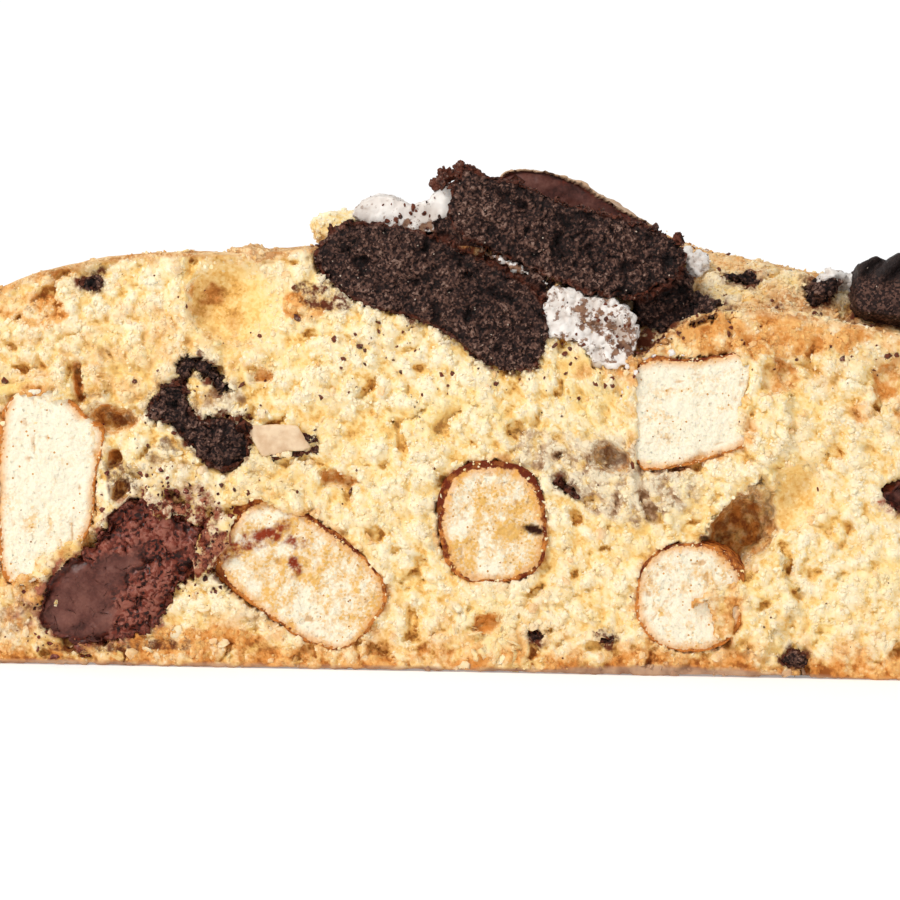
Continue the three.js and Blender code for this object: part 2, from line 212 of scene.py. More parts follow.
def finish_mesh(mesh: Mesh, name: str, material: Material) -> Piece:
    """Turns a mesh in millimetres into a smooth object in metres, at the origin.

    Args:
        mesh: The mesh, which is freed.
        name: The object's name.
        material: Its one material.

    Returns:
        The new object.
    """
    bmesh.ops.scale(mesh, vec=(MM, MM, MM), verts=mesh.verts)
    bmesh.ops.triangulate(mesh, faces=[face for face in mesh.faces if len(face.verts) > 4])
    data = bpy.data.meshes.new(name)
    mesh.to_mesh(data)
    mesh.free()
    data.shade_smooth()
    data.materials.append(material)
    return add_object(name, data)


def fuse(shapes: Iterable[Mesh], voxel: float) -> Mesh:
    """Melts closed shapes into one even skin.

    Args:
        shapes: Overlapping closed meshes, which are freed.
        voxel: Size of the new skin's faces.

    Returns:
        The new mesh.
    """
    data = bpy.data.meshes.new("fusing")
    joined = bmesh.new()
    for shape in shapes:
        shape.to_mesh(data)
        joined.from_mesh(data)
        shape.free()
    joined.to_mesh(data)
    joined.free()
    holder = add_object("fusing", data)
    remesh = holder.modifiers.new("skin", "REMESH")
    remesh.mode = "VOXEL"
    remesh.voxel_size = voxel
    evaluated = holder.evaluated_get(bpy.context.evaluated_depsgraph_get())
    mesh = bmesh.new()
    mesh.from_mesh(evaluated.to_mesh())
    bpy.data.objects.remove(holder)
    bpy.data.meshes.remove(data)
    return mesh


def raise_surface(mesh: Mesh, rule: Callable[[Vector, Vector, int], Touch]) -> None:
    """Moves each vertex along its normal and stores its marks.

    Args:
        mesh: The mesh.
        rule: Gives the touch at a point, from its place, its normal and its index.
    """
    mesh.normal_update()
    touches = [rule(vert.co, vert.normal, index) for index, vert in enumerate(mesh.verts)]
    layers = {name: mesh.verts.layers.float.new(name) for name in touches[0].marks}
    for vert, touch in zip(mesh.verts, touches):
        vert.co = vert.co + vert.normal * touch.height
        for name, layer in layers.items():
            vert[layer] = touch.marks[name]


# ---- Finishes ----


class Wiring:
    """A node tree being wired."""

    def __init__(self, tree: Tree) -> None:
        """Starts on a tree."""
        self.tree = tree

    def feed(self, socket: Socket, value: object) -> None:
        """Links an output to a socket, or sets a plain value on it."""
        if isinstance(value, Socket):
            self.tree.links.new(value, socket)
        else:
            socket.default_value = value

    def fill(self, node: Node, values: Mapping[str | int, object]) -> None:
        """Feeds a node's inputs, by name or by number."""
        for key, value in values.items():
            self.feed(node.inputs[key], value)

    def node(
        self, kind: str, values: Mapping[str | int, object] | None = None, **settings: object
    ) -> Node:
        """Adds a node.

        Args:
            kind: The node's type.
            values: What goes to its inputs, by name or by number.
            **settings: Its own properties.

        Returns:
            The new node.
        """
        node = self.tree.nodes.new(kind)
        for name, setting in settings.items():
            setattr(node, name, setting)
        self.fill(node, values or {})
        return node

    def group(self, tree: Tree, **values: object) -> Socket:
        """The output of a shared group that is given its own values."""
        return self.node("ShaderNodeGroup", values, node_tree=tree).outputs[0]

    def mark(self, name: str) -> Socket:
        """A mark stored on the mesh."""
        return self.node("ShaderNodeAttribute", attribute_name=name).outputs["Fac"]

    def mix(self, amount: object, first: object, second: object) -> Socket:
        """A colour between first, at amount 0, and second, at 1."""
        return self.node("ShaderNodeMix", {0: amount, 6: first, 7: second}, data_type="RGBA").outputs[2]

    def math(self, operation: str, first: object, second: object, clamp: bool = False) -> Socket:
        """The result of a sum."""
        values = {0: first, 1: second}
        return self.node("ShaderNodeMath", values, operation=operation, use_clamp=clamp).outputs[0]

    def add(self, first: object, second: object, clamp: bool = False) -> Socket:
        """Two numbers added."""
        return self.math("ADD", first, second, clamp)

    def times(self, first: object, second: object) -> Socket:
        """Two numbers multiplied."""
        return self.math("MULTIPLY", first, second)

    def span(self, value: object, low: float, high: float, start: float = 0.0, end: float = 1.0) -> Socket:
        """A value eased from start, at low, to end, at high."""
        values = dict(enumerate((value, low, high, start, end)))
        return self.node("ShaderNodeMapRange", values, interpolation_type="SMOOTHSTEP").outputs[0]

    def ramp(self, amount: object, *stops: tuple[float, Colour]) -> Socket:
        """A colour read off a row of stops."""
        node = self.node("ShaderNodeValToRGB", {"Fac": amount})
        elements = node.color_ramp.elements
        elements[0].position, elements[0].color = stops[0]
        elements[-1].position, elements[-1].color = stops[-1]
        for position, colour in stops[1:-1]:
            elements.new(position).color = colour
        return node.outputs["Color"]


class Pattern(Wiring):
    """A shared node group with one output, whose features have a size given in millimetres."""

    def __init__(self, name: str, **inputs: float) -> None:
        """Starts the group.

        Args:
            name: The group's name.
            **inputs: Its inputs and their usual values, with Size among them.
        """
        super().__init__(bpy.data.node_groups.new(name, "ShaderNodeTree"))
        sockets = self.tree.interface
        for socket, value in inputs.items():
            sockets.new_socket(socket, in_out="INPUT", socket_type="NodeSocketFloat").default_value = value
        sockets.new_socket("Value", in_out="OUTPUT", socket_type="NodeSocketFloat")
        self.given = self.node("NodeGroupInput").outputs
        self.result = self.node("NodeGroupOutput").inputs["Value"]
        place = self.node("ShaderNodeTexCoord").outputs["Object"]
        scaling = {"Vector": place, "Scale": self.math("DIVIDE", 1 / MM, self.given["Size"])}
        self.place = self.node("ShaderNodeVectorMath", scaling, operation="SCALE").outputs[0]

    def cloud(self, detail: float, roughness: float) -> Socket:
        """Noise from 0 to 1."""
        values = {"Vector": self.place, "Scale": 1.0, "Detail": detail, "Roughness": roughness}
        return self.node("ShaderNodeTexNoise", values).outputs["Fac"]

    def cells(self, scale: float = 1.0) -> Node:
        """Packed cells."""
        return self.node("ShaderNodeTexVoronoi", {"Vector": self.place, "Scale": scale, "Randomness": 1.0})

    def pick(self, cells: Node, channel: str) -> Socket:
        """A random number of each cell's own, 0 to 1."""
        return self.node("ShaderNodeSeparateColor", {"Color": cells.outputs["Color"]}).outputs[channel]

    def finished(self, value: Socket) -> Tree:
        """The group, once its output is fed."""
        self.feed(self.result, value)
        return self.tree


def mottle() -> Tree:
    """Uneven tone, 0 to 1, in patches."""
    group = Pattern("Mottle", Size=3.0, Contrast=1.0)
    centred = group.math("SUBTRACT", group.cloud(4.0, 0.62), 0.5)
    spread = group.times(centred, group.times(group.given["Contrast"], 2.4))
    return group.finished(group.add(spread, 0.5, clamp=True))


def grain() -> Tree:
    """Fine packed grain with pin holes, as a height from 0 to 1."""
    group = Pattern("Grain", Size=0.2, Holes=0.5)
    cloud = group.cloud(3.0, 0.7)
    distance = group.cells(0.7).outputs["Distance"]
    dome = group.times(group.math("SUBTRACT", 1.0, distance), 0.4)
    holes = group.times(group.span(cloud, 0.62, 0.74), group.given["Holes"])
    return group.finished(group.math("SUBTRACT", group.add(group.times(cloud, 0.6), dome), holes))


def flecks() -> Tree:
    """A mask of scattered flecks. Share is how many of the places hold one."""
    group = Pattern("Flecks", Size=1.0, Share=0.3, Width=0.2)
    cells = group.cells()
    chosen = group.math("LESS_THAN", group.pick(cells, "Red"), group.given["Share"])
    inside = group.math("LESS_THAN", cells.outputs["Distance"], group.given["Width"])
    return group.finished(group.times(chosen, inside))


def specks() -> Tree:
    """A tone of its own, 0 to 1, for each packed grain."""
    group = Pattern("Specks", Size=0.15)
    return group.finished(group.pick(group.cells(), "Green"))


@dataclass(frozen=True)
class Patterns:
    """The node groups that finishes share, each built once."""

    mottle: Tree = field(default_factory=mottle)
    grain: Tree = field(default_factory=grain)
    flecks: Tree = field(default_factory=flecks)
    specks: Tree = field(default_factory=specks)


class Paint(Wiring):
    """A material being wired, with the shared patterns at hand."""

    def __init__(self, tree: Tree, patterns: Patterns) -> None:
        """Starts on a material's tree."""
        super().__init__(tree)
        self.patterns = patterns

    def tone(self, size: float, contrast: float = 1.0) -> Socket:
        """Patches of tone, 0 to 1."""
        return self.group(self.patterns.mottle, Size=size, Contrast=contrast)

    def flecks(self, size: float, share: float, width: float) -> Socket:
        """A mask of flecks."""
        return self.group(self.patterns.flecks, Size=size, Share=share, Width=width)

    def swing(self, tone: Socket, reach: float) -> Socket:
        """A tone made to swing about 0 by reach."""
        return self.span(tone, 0.0, 1.0, -reach, reach)

    def varied(
        self, value: Socket, speck: tuple[float, float], patch: tuple[float, float], clamp: bool = False
    ) -> Socket:
        """A value made uneven.

        Args:
            value: The value.
            speck: Size of the grains and how far each swings it.
            patch: The same for larger patches.
            clamp: Whether the result is held between 0 and 1.

        Returns:
            The uneven value.
        """
        grains_tone = self.swing(self.group(self.patterns.specks, Size=speck[0]), speck[1])
        patches = self.swing(self.tone(patch[0], 1.4), patch[1])
        return self.add(value, self.add(grains_tone, patches), clamp)

    def broken(self, mark: str, tone: Socket, low: float, high: float, *ends: float) -> Socket:
        """A mark broken up by a tone, which is eased as in span."""
        return self.times(self.mark(mark), self.span(tone, low, high, *ends))


@dataclass(frozen=True)
class Finish:
    """What all finishes share: a material with one Principled shader and a fine bump."""

    name: str
    roughness: float
    specular: float
    grain_size: float
    grain_depth: float
    holes: float = 0.4
    scatter: float = 0.0
    scatter_radius: Triple = (1.0, 0.85, 0.65)
    scatter_scale: float = 0.35
    coat: float = 0.0
    coat_roughness: float = 0.25
    uneven: float = 0.08

    def colour(self, paint: Paint) -> Socket:
        """The base colour, which each finish wires for itself."""
        raise NotImplementedError

    def gloss(self, paint: Paint) -> Socket:
        """The roughness, uneven by a little."""
        dull, uneven = self.roughness, self.uneven
        return paint.span(paint.tone(1.4), 0.0, 1.0, dull - uneven, dull + uneven)

    def build(self, patterns: Patterns) -> Material:
        """Makes the material."""
        material, shader = new_material(self.name)
        paint = Paint(material.node_tree, patterns)
        height = paint.group(patterns.grain, Size=self.grain_size, Holes=self.holes)
        relief = {"Height": height, "Distance": self.grain_depth * MM, "Strength": 1.0}
        values = {
            "Base Color": self.colour(paint),
            "Roughness": self.gloss(paint),
            "Normal": paint.node("ShaderNodeBump", relief).outputs["Normal"],
            "Specular IOR Level": self.specular,
            "Subsurface Weight": self.scatter,
            "Subsurface Radius": self.scatter_radius,
            "Subsurface Scale": self.scatter_scale * MM,
            "Coat Weight": self.coat,
            "Coat Roughness": self.coat_roughness,
        }
        paint.fill(shader, values)
        return material


def new_material(name: str) -> tuple[Material, Node]:
    """A new material and its one shader."""
    material = bpy.data.materials.new(name)
    material.use_nodes = True
    return material, material.node_tree.nodes["Principled BSDF"]


@dataclass(frozen=True)
class CrumbFinish(Finish):
    """Yellow crumb, browned crust and skin, with smears of what was baked in it."""

    deepest: Colour = srgb(172, 112, 50)
    deep: Colour = srgb(230, 180, 98)
    mid: Colour = srgb(244, 212, 146)
    pale: Colour = srgb(250, 227, 180)
    bright: Colour = srgb(255, 239, 206)
    butter: Colour = srgb(250, 218, 140)
    golden: Colour = srgb(246, 204, 122)
    toast_dark: Colour = srgb(150, 84, 34)
    toasted: Colour = srgb(214, 142, 68)
    toast_pale: Colour = srgb(238, 184, 114)
    crust_pale: Colour = srgb(238, 202, 152)
    crust_dark: Colour = srgb(200, 140, 82)
    skin_pale: Colour = srgb(196, 160, 130)
    skin_dark: Colour = srgb(142, 104, 82)
    cocoa: Colour = srgb(104, 52, 32)
    greyed_dark: Colour = srgb(134, 96, 66)
    greyed: Colour = srgb(196, 164, 130)
    greyed_pale: Colour = srgb(236, 220, 190)
    chocolate_dark: Colour = srgb(62, 22, 14)
    chocolate: Colour = srgb(124, 54, 34)
    chocolate_pale: Colour = srgb(172, 108, 82)

    def colour(self, paint: Paint) -> Socket:
        """Crumb by depth, which paints shade into the hollows and a highlight on the clumps, then browning,
        crust and smears over it.
        """
        # Painted shade and highlight: the cavity mark makes the crumb darker and more golden in its hollows
        # and paler on its clumps; the toasted, greyed and chocolate ramps below read the same depth.
        depth = paint.varied(paint.mark("cavity"), (0.14, 0.1), (0.6, 0.12))
        hollows = ((0.0, self.deepest), (0.22, self.deep), (0.44, self.mid))
        surface = paint.ramp(depth, *hollows, (0.66, self.pale), (0.95, self.bright))
        surface = paint.mix(paint.span(paint.tone(3.2), 0.55, 0.95, 0.0, 0.4), surface, self.butter)
        surface = paint.mix(paint.span(paint.tone(5.1), 0.5, 0.95, 0.0, 0.3), surface, self.golden)
        toasted = paint.ramp(depth, (0.15, self.toast_dark), (0.45, self.toasted), (0.85, self.toast_pale))
        surface = paint.mix(self.patchy(paint, "toast", 1.1), surface, toasted)
        baked = paint.varied(paint.tone(2.2, 1.3), (0.12, 0.3), (0.6, 0.3))
        crust = paint.mix(paint.span(baked, 0.0, 1.0), self.crust_pale, self.crust_dark)
        surface = paint.mix(paint.mark("crust"), surface, crust)
        skin = paint.mix(paint.tone(1.6, 1.3), self.skin_pale, self.skin_dark)
        surface = paint.mix(paint.mark("skin"), surface, skin)
        greyed = paint.ramp(depth, (0.2, self.greyed_dark), (0.5, self.greyed), (0.8, self.greyed_pale))
        surface = paint.mix(self.patchy(paint, "greyed", 0.7), surface, greyed)
        surface = paint.mix(self.patchy(paint, "cocoa", 0.5), surface, self.cocoa)
        chocolate = ((0.2, self.chocolate_dark), (0.5, self.chocolate), (0.9, self.chocolate_pale))
        surface = paint.mix(self.patchy(paint, "chocolate", 0.6), surface, paint.ramp(depth, *chocolate))
        return paint.mix(paint.flecks(0.8, 0.1, 0.07), surface, self.cocoa)

    def patchy(self, paint: Paint, mark: str, size: float) -> Socket:
        """A mark broken up into patches."""
        return paint.span(paint.broken(mark, paint.tone(size, 1.5), 0.0, 1.0, 0.35, 1.45), 0.06, 1.0)


@dataclass(frozen=True)
class WaferFinish(Finish):
    """Dark cocoa wafer with a few bright specks of sugar, painted white as their glints."""

    deep: Colour = srgb(12, 4, 3)
    mid: Colour = srgb(44, 23, 19)
    pale: Colour = srgb(108, 76, 64)
    bright: Colour = srgb(150, 120, 106)
    # The moulded face's smoother, greyer colour, which also stands in as painted sheen.
    glazed: Colour = srgb(46, 38, 37)
    crisp: Colour = srgb(112, 54, 34)
    sugar: Colour = srgb(206, 186, 168)
    glazed_roughness: float = 0.36

    def colour(self, paint: Paint) -> Socket:
        """Painted shade in the hollows and painted highlight on the grains, and redder round the edge."""
        # Painted shade and highlight: the cavity mark darkens the hollows and lightens the grains.
        depth = paint.varied(paint.mark("cavity"), (0.1, 0.24), (0.9, 0.04))
        dark = paint.ramp(depth, (0.14, self.deep), (0.5, self.mid), (0.82, self.pale), (1.0, self.bright))
        # On the moulded face the glazed colour replaces the grain: partly the pressed face's own tone, partly
        # painted sheen.
        dark = paint.mix(paint.mark("sheen"), dark, self.glazed)
        dark = paint.mix(paint.broken("fringe", paint.tone(0.3, 1.4), 0.1, 0.6), dark, self.crisp)
        # The sugar flecks are painted glints: white specks where sugar crystals would catch the light.
        return paint.mix(paint.flecks(0.42, 0.22, 0.1), dark, self.sugar)

    def gloss(self, paint: Paint) -> Socket:
        """Smoother where the mould pressed it."""
        return paint.span(paint.mark("sheen"), 0.0, 1.0, self.roughness, self.glazed_roughness)


@dataclass(frozen=True)
class CreamFinish(Finish):
    """White sugar cream, smudged with cocoa."""

    white: Colour = srgb(240, 234, 228)
    shade: Colour = srgb(196, 178, 164)
    smudge: Colour = srgb(152, 114, 88)
    crumb: Colour = srgb(92, 56, 42)

    def colour(self, paint: Paint) -> Socket:
        """White on top and greyer in the folds, painted as highlight and shade, with brown smudges."""
        # Painted shade: the cavity mark greys the cream in its folds and leaves its raised flakes white.
        cream = paint.mix(paint.mark("cavity"), self.shade, self.white)
        smudged = paint.varied(paint.mark("smudge"), (0.16, 0.22), (0.6, 0.4))
        brown = paint.mix(paint.tone(0.3, 1.6), self.crumb, self.smudge)
        cream = paint.mix(paint.span(smudged, 0.4, 0.8), cream, brown)
        return paint.mix(paint.flecks(0.7, 0.14, 0.09), cream, self.crumb)


@dataclass(frozen=True)
class ChocolateFinish(Finish):
    """Milk chocolate, mauve where the knife smeared it and darker where it crumbled."""

    cut: Colour = srgb(90, 48, 40)
    dark: Colour = srgb(44, 18, 13)
    # The paler colour on the drag ridges, partly bloom and partly painted highlight.
    bloom_and_highlight: Colour = srgb(124, 79, 68)
    # The palest colour of the crumbled lumps, a painted highlight.
    lump_highlight: Colour = srgb(152, 92, 76)
    crisp: Colour = srgb(120, 50, 34)
    tan: Colour = srgb(206, 170, 136)

    def colour(self, paint: Paint) -> Socket:
        """Cut face, crumbled parts by depth with painted shade and highlight, and a baked film on what melted
        through the crust.
        """
        # Painted shade and highlight: shade and lit make the chocolate darker in its dips and at its sunken
        # edge and paler on its ridges and lumps.
        shade = paint.varied(paint.mark("cavity"), (0.12, 0.08), (0.7, 0.14))
        smear = paint.ramp(shade, (0.0, self.dark), (0.4, self.cut), (0.95, self.bloom_and_highlight))
        lit = paint.varied(paint.mark("cavity"), (0.16, 0.34), (0.7, 0.15))
        broken = paint.ramp(lit, (0.14, self.dark), (0.56, self.crisp), (1.0, self.lump_highlight))
        chocolate = paint.mix(paint.mark("crumbled"), smear, broken)
        fringe = paint.broken("fringe", paint.tone(0.35, 1.4), 0.2, 0.7)
        chocolate = paint.mix(fringe, chocolate, paint.mix(paint.tone(0.2, 1.5), self.dark, self.crisp))
        return paint.mix(paint.mark("film"), chocolate, self.tan)


@dataclass(frozen=True)
class PretzelFinish(Finish):
    """Pale dry inside, full of pin holes, within a thin glazed brown rind."""

    pale: Colour = srgb(251, 241, 217)
    warm: Colour = srgb(232, 184, 104)
    pit: Colour = srgb(206, 154, 88)
    speck: Colour = srgb(160, 108, 58)
    glow: Colour = srgb(230, 164, 84)
    rind_light: Colour = srgb(214, 134, 62)
    rind_dark: Colour = srgb(112, 42, 18)
    stained: Colour = srgb(142, 52, 24)
    # The painted shade colour of a hole.
    dark: Colour = srgb(60, 26, 14)

    def colour(self, paint: Paint) -> Socket:
        """Inside by depth and warmth with painted shade in its pores, then the rind, then chocolate stain,
        then holes painted dark as shade.
        """
        given = paint.span(paint.mark("warmth"), 0.0, 1.0, -0.25, 1.0)
        warmth = paint.varied(given, (0.12, 0.3), (0.8, 0.16), clamp=True)
        surface = paint.mix(warmth, self.pale, self.warm)
        # Painted shade: where the cavity mark is low, in pores and tears, the inside takes the pit colour;
        # the pit flecks below are the strand's own specks.
        surface = paint.mix(paint.span(paint.mark("cavity"), 0.5, 0.0, 0.0, 0.7), surface, self.pit)
        surface = paint.mix(paint.flecks(0.34, 0.3, 0.17), surface, self.pit)
        surface = paint.mix(paint.flecks(0.47, 0.12, 0.1), surface, self.speck)
        surface = paint.mix(paint.mark("glow"), surface, self.glow)
        edge = paint.add(paint.mark("rind"), paint.swing(paint.tone(0.3, 1.4), 0.3))
        baked = paint.add(paint.mark("baked"), paint.swing(paint.tone(0.5, 1.5), 0.4))
        rind = paint.mix(paint.span(baked, 0.0, 1.0), self.rind_light, self.rind_dark)
        surface = paint.mix(paint.span(edge, 0.25, 0.6), surface, rind)
        surface = paint.mix(paint.broken("stain", paint.tone(0.5, 1.2), 0.1, 0.8, 0.2), surface, self.stained)
        # The holes are painted dark as shade, dented only a little.
        return paint.mix(paint.mark("hole"), surface, self.dark)


@dataclass(frozen=True)
class ChipFinish(Finish):
    """Pale confectionery, smooth and a little waxy."""

    pale: Colour = srgb(232, 206, 172)
    # The colour of the dents, a painted shade.
    edge: Colour = srgb(196, 152, 110)

    def colour(self, paint: Paint) -> Socket:
        """Pale, browner in the hollows as painted shade."""
        shade = paint.add(paint.mark("cavity"), paint.swing(paint.tone(0.7), 0.3))
        return paint.mix(shade, self.edge, self.pale)


def make_finishes() -> dict[Stock, Material]:
    """Makes each stock's material."""
    patterns = Patterns()
    finishes = {
        Stock.DOUGH: CrumbFinish("crumb", 0.75, 0.12, 0.2, 0.04, scatter=0.3, scatter_scale=0.18),
        Stock.WAFER: WaferFinish("wafer", 0.5, 0.2, 0.12, 0.16),
        Stock.CREAM: CreamFinish("cream", 0.5, 0.3, 0.3, 0.03, scatter=0.35, scatter_radius=(1.0, 0.95, 0.9)),
        Stock.CHOCOLATE: ChocolateFinish("chocolate", 0.44, 0.22, 0.2, 0.03, coat=0.05),
        Stock.PRETZEL: PretzelFinish("pretzel", 0.7, 0.15, 0.16, 0.13, 0.8, scatter=0.2, scatter_scale=0.2),
        Stock.CHIP: ChipFinish("chip", 0.45, 0.4, 0.3, 0.015, scatter=0.2),
    }
    return {stock: finish.build(patterns) for stock, finish in finishes.items()}


# ---- Shapes of the pieces ----

PROUD = 0.6  # how far a piece stood past the knife's plane before it was cut
KNIFE_GAP = 0.04  # how far inside the slice's two faces the pieces are cut


@dataclass(frozen=True)
class Place:
    """Where a shape's middle lies, in millimetres, and how it is turned, in degrees."""

    x: float
    y: float
    z: float
    pitch: float = 0.0
    tilt: float = 0.0
    turn: float = 0.0

    def matrix(self) -> Matrix:
        """Pitch about X, then tilt about Y, then turn about Z, then the move."""
        angles = (math.radians(self.pitch), math.radians(-self.tilt), math.radians(self.turn))
        return Matrix.Translation((self.x, self.y, self.z)) @ Euler(angles, "XYZ").to_matrix().to_4x4()


@dataclass(frozen=True)
class Lump:
    """A rounded block: square 2 is an ellipsoid and 8 is nearly a box."""

    size: Triple
    square: float = 3.0
    uneven: float = 0.3
    wavelength: float = 2.6
    seed: int = 1

    def shape(self) -> Mesh:
        """The block about the origin, its surface waved by noise."""
        mesh = box_grid((10, 10, 10))
        half = Vector(self.size) / 2
        for vert in mesh.verts:
            reach = sum(abs(c) ** self.square for c in vert.co) ** (-1 / self.square)
            unit = vert.co * reach
            out = unit.normalized()
            point = Vector((unit.x * half.x, unit.y * half.y, unit.z * half.z))
            vert.co = point + out * self.uneven * wave(point, self.wavelength, self.seed)
        return mesh


@dataclass(frozen=True)
class Slab:
    """A piece with one outline all the way in, along Y, moving sideways and up by drift as it goes."""

    ring: Ring
    deep: float
    drift: tuple[float, float] = (0.0, 0.0)
    taper: float = 1.0

    def shape(self) -> Mesh:
        """The piece, with the outline as given where the knife cuts it."""
        mesh = bmesh.new()
        front_face = mesh.faces.new([mesh.verts.new((x, 0.0, z)) for x, z in self.ring])
        far = bmesh.ops.extrude_face_region(mesh, geom=[front_face])["geom"]
        for vert in (item for item in far if isinstance(item, bmesh.types.BMVert)):
            vert.co = (vert.co.x * self.taper, self.deep, vert.co.z * self.taper)
        for vert in mesh.verts:
            run = vert.co.y - PROUD
            vert.co += Vector((self.drift[0] * run, 0.0, self.drift[1] * run))
        bmesh.ops.recalc_face_normals(mesh, faces=mesh.faces)
        return mesh

    def section(self, local: Vector) -> Vector:
        """Where a point lies on the outline's plane."""
        run = local.y - PROUD
        return Vector((local.x - self.drift[0] * run, 0.0, local.z - self.drift[1] * run))


@dataclass(frozen=True)
class Strand:
    """A pretzel strand along Y, a little squared, with broken ends."""

    thick: float
    long: float
    square: float = 2.5

    @property
    def ring(self) -> Ring:
        """The strand's outline."""
        return oval(self.thick, self.thick, self.square)

    def shape(self) -> Mesh:
        """The strand about the origin."""
        mesh = Slab(self.ring, self.long).shape()
        bmesh.ops.translate(mesh, vec=(0.0, -self.long / 2, 0.0), verts=mesh.verts)
        return mesh

    def section(self, local: Vector) -> Vector:
        """Where a point lies on the outline's plane."""
        return Vector((local.x, 0.0, local.z))


@dataclass(frozen=True)
class Rim:
    """A piece of a whole wafer's fluted rim, its rim towards the front. The flutes fade out below."""

    radius: float = 22.0
    wide: float = 4.6
    thick: float = 3.9
    spread: float = 17.0
    flute: float = 3.9
    depth: float = 1.0
    skew: float = 3.2
    square: float = 2.9

    def shape(self) -> Mesh:
        """The piece about the origin."""
        mesh = box_grid((72, 14, 18))
        for vert in mesh.verts:
            x, y, z = vert.co
            angle = x * self.spread / 2
            ridge = abs(math.sin(math.pi * (angle - self.skew * z) / self.flute)) ** 0.7
            fluted = smooth(-y, -0.6, 0.8) * smooth(z, -0.35, 0.35)
            radius = self.radius - self.wide * (1 + y) / 2 - self.depth * fluted * (1 - ridge)
            turn = math.radians(angle)
            middle = self.radius - self.wide / 2
            lift = 1 - 0.12 * fluted * (1 - ridge) - 0.3 * smooth(-x, 0.0, 1.0) * smooth(z, 0.0, 1.0)
            vert.co = (radius * math.sin(turn), middle - radius * math.cos(turn), z * lift * self.thick / 2)
            vert.co *= self.rounding(x, y, z)
        return mesh

    def rounding(self, x: float, y: float, z: float) -> float:
        """How far the block's edges and corners are drawn in."""
        level = max(abs(x), abs(y), abs(z))
        total = abs(x) ** self.square + abs(y) ** self.square + abs(z) ** self.square
        return 0.45 + 0.55 * level * total ** (-1 / self.square)


Form = Lump | Slab | Strand | Rim


def splinter(wide: float, high: float, seed: int, corners: int = 7) -> Ring:
    """The outline of a broken crumb."""
    ring = []
    for corner in range(corners):
        angle = 2 * math.pi * (corner + 0.35 * wave(Vector((corner, 0.0, 0.0)), 1.3, seed)) / corners
        reach = 0.5 + 0.32 * wave(Vector((corner, 3.0, 0.0)), 1.3, seed)
        ring.append((wide * reach * math.cos(angle), high * reach * math.sin(angle)))
    return rounded(ring, 1)


@dataclass(frozen=True)
class Spot:
    """An oval place on a cut face, tilted anticlockwise as seen from the front, in mm and degrees."""

    x: float
    z: float
    wide: float
    high: float
    tilt: float = 0.0

    def level(self, p: Vector) -> float:
        """Squared distance from the middle, 1 on the oval's edge."""
        turn = math.radians(self.tilt)
        across, up = p.x - self.x, p.z - self.z
        along = across * math.cos(turn) + up * math.sin(turn)
        over = up * math.cos(turn) - across * math.sin(turn)
        return (along / (self.wide / 2)) ** 2 + (over / (self.high / 2)) ** 2

    def cover(self, p: Vector, ragged: float = 0.35) -> float:
        """1 inside and 0 outside, with a ragged soft edge."""
        return smooth(self.level(p) * (1 + ragged * wave(p, 0.7, 31)), 1.25, 0.55)


def spots(*rows: tuple[float, ...]) -> list[Spot]:
    """Spots from rows of their numbers."""
    return [Spot(*row) for row in rows]


def covered(places: Iterable[Spot], p: Vector, ragged: float) -> float:
    """How far a point is covered by the spot that covers it most."""
    return max((place.cover(p, ragged) for place in places), default=0.0)


@dataclass(frozen=True)
class Knife:
    """The two cuts that made the slice."""

    front: float
    back: float

    def trim(self, mesh: Mesh) -> None:
        """Takes off what stands past either cut and closes the mesh again."""
        for y, outward in ((self.front, -1.0), (self.back, 1.0)):
            geometry = [*mesh.verts, *mesh.edges, *mesh.faces]
            plane = {"plane_co": (0, y, 0), "plane_no": (0, outward, 0), "clear_outer": True}
            bmesh.ops.bisect_plane(mesh, geom=geometry, dist=1e-5, **plane)
            bmesh.ops.holes_fill(mesh, edges=[edge for edge in mesh.edges if edge.is_boundary], sides=0)


# ---- Pieces set in the dough ----


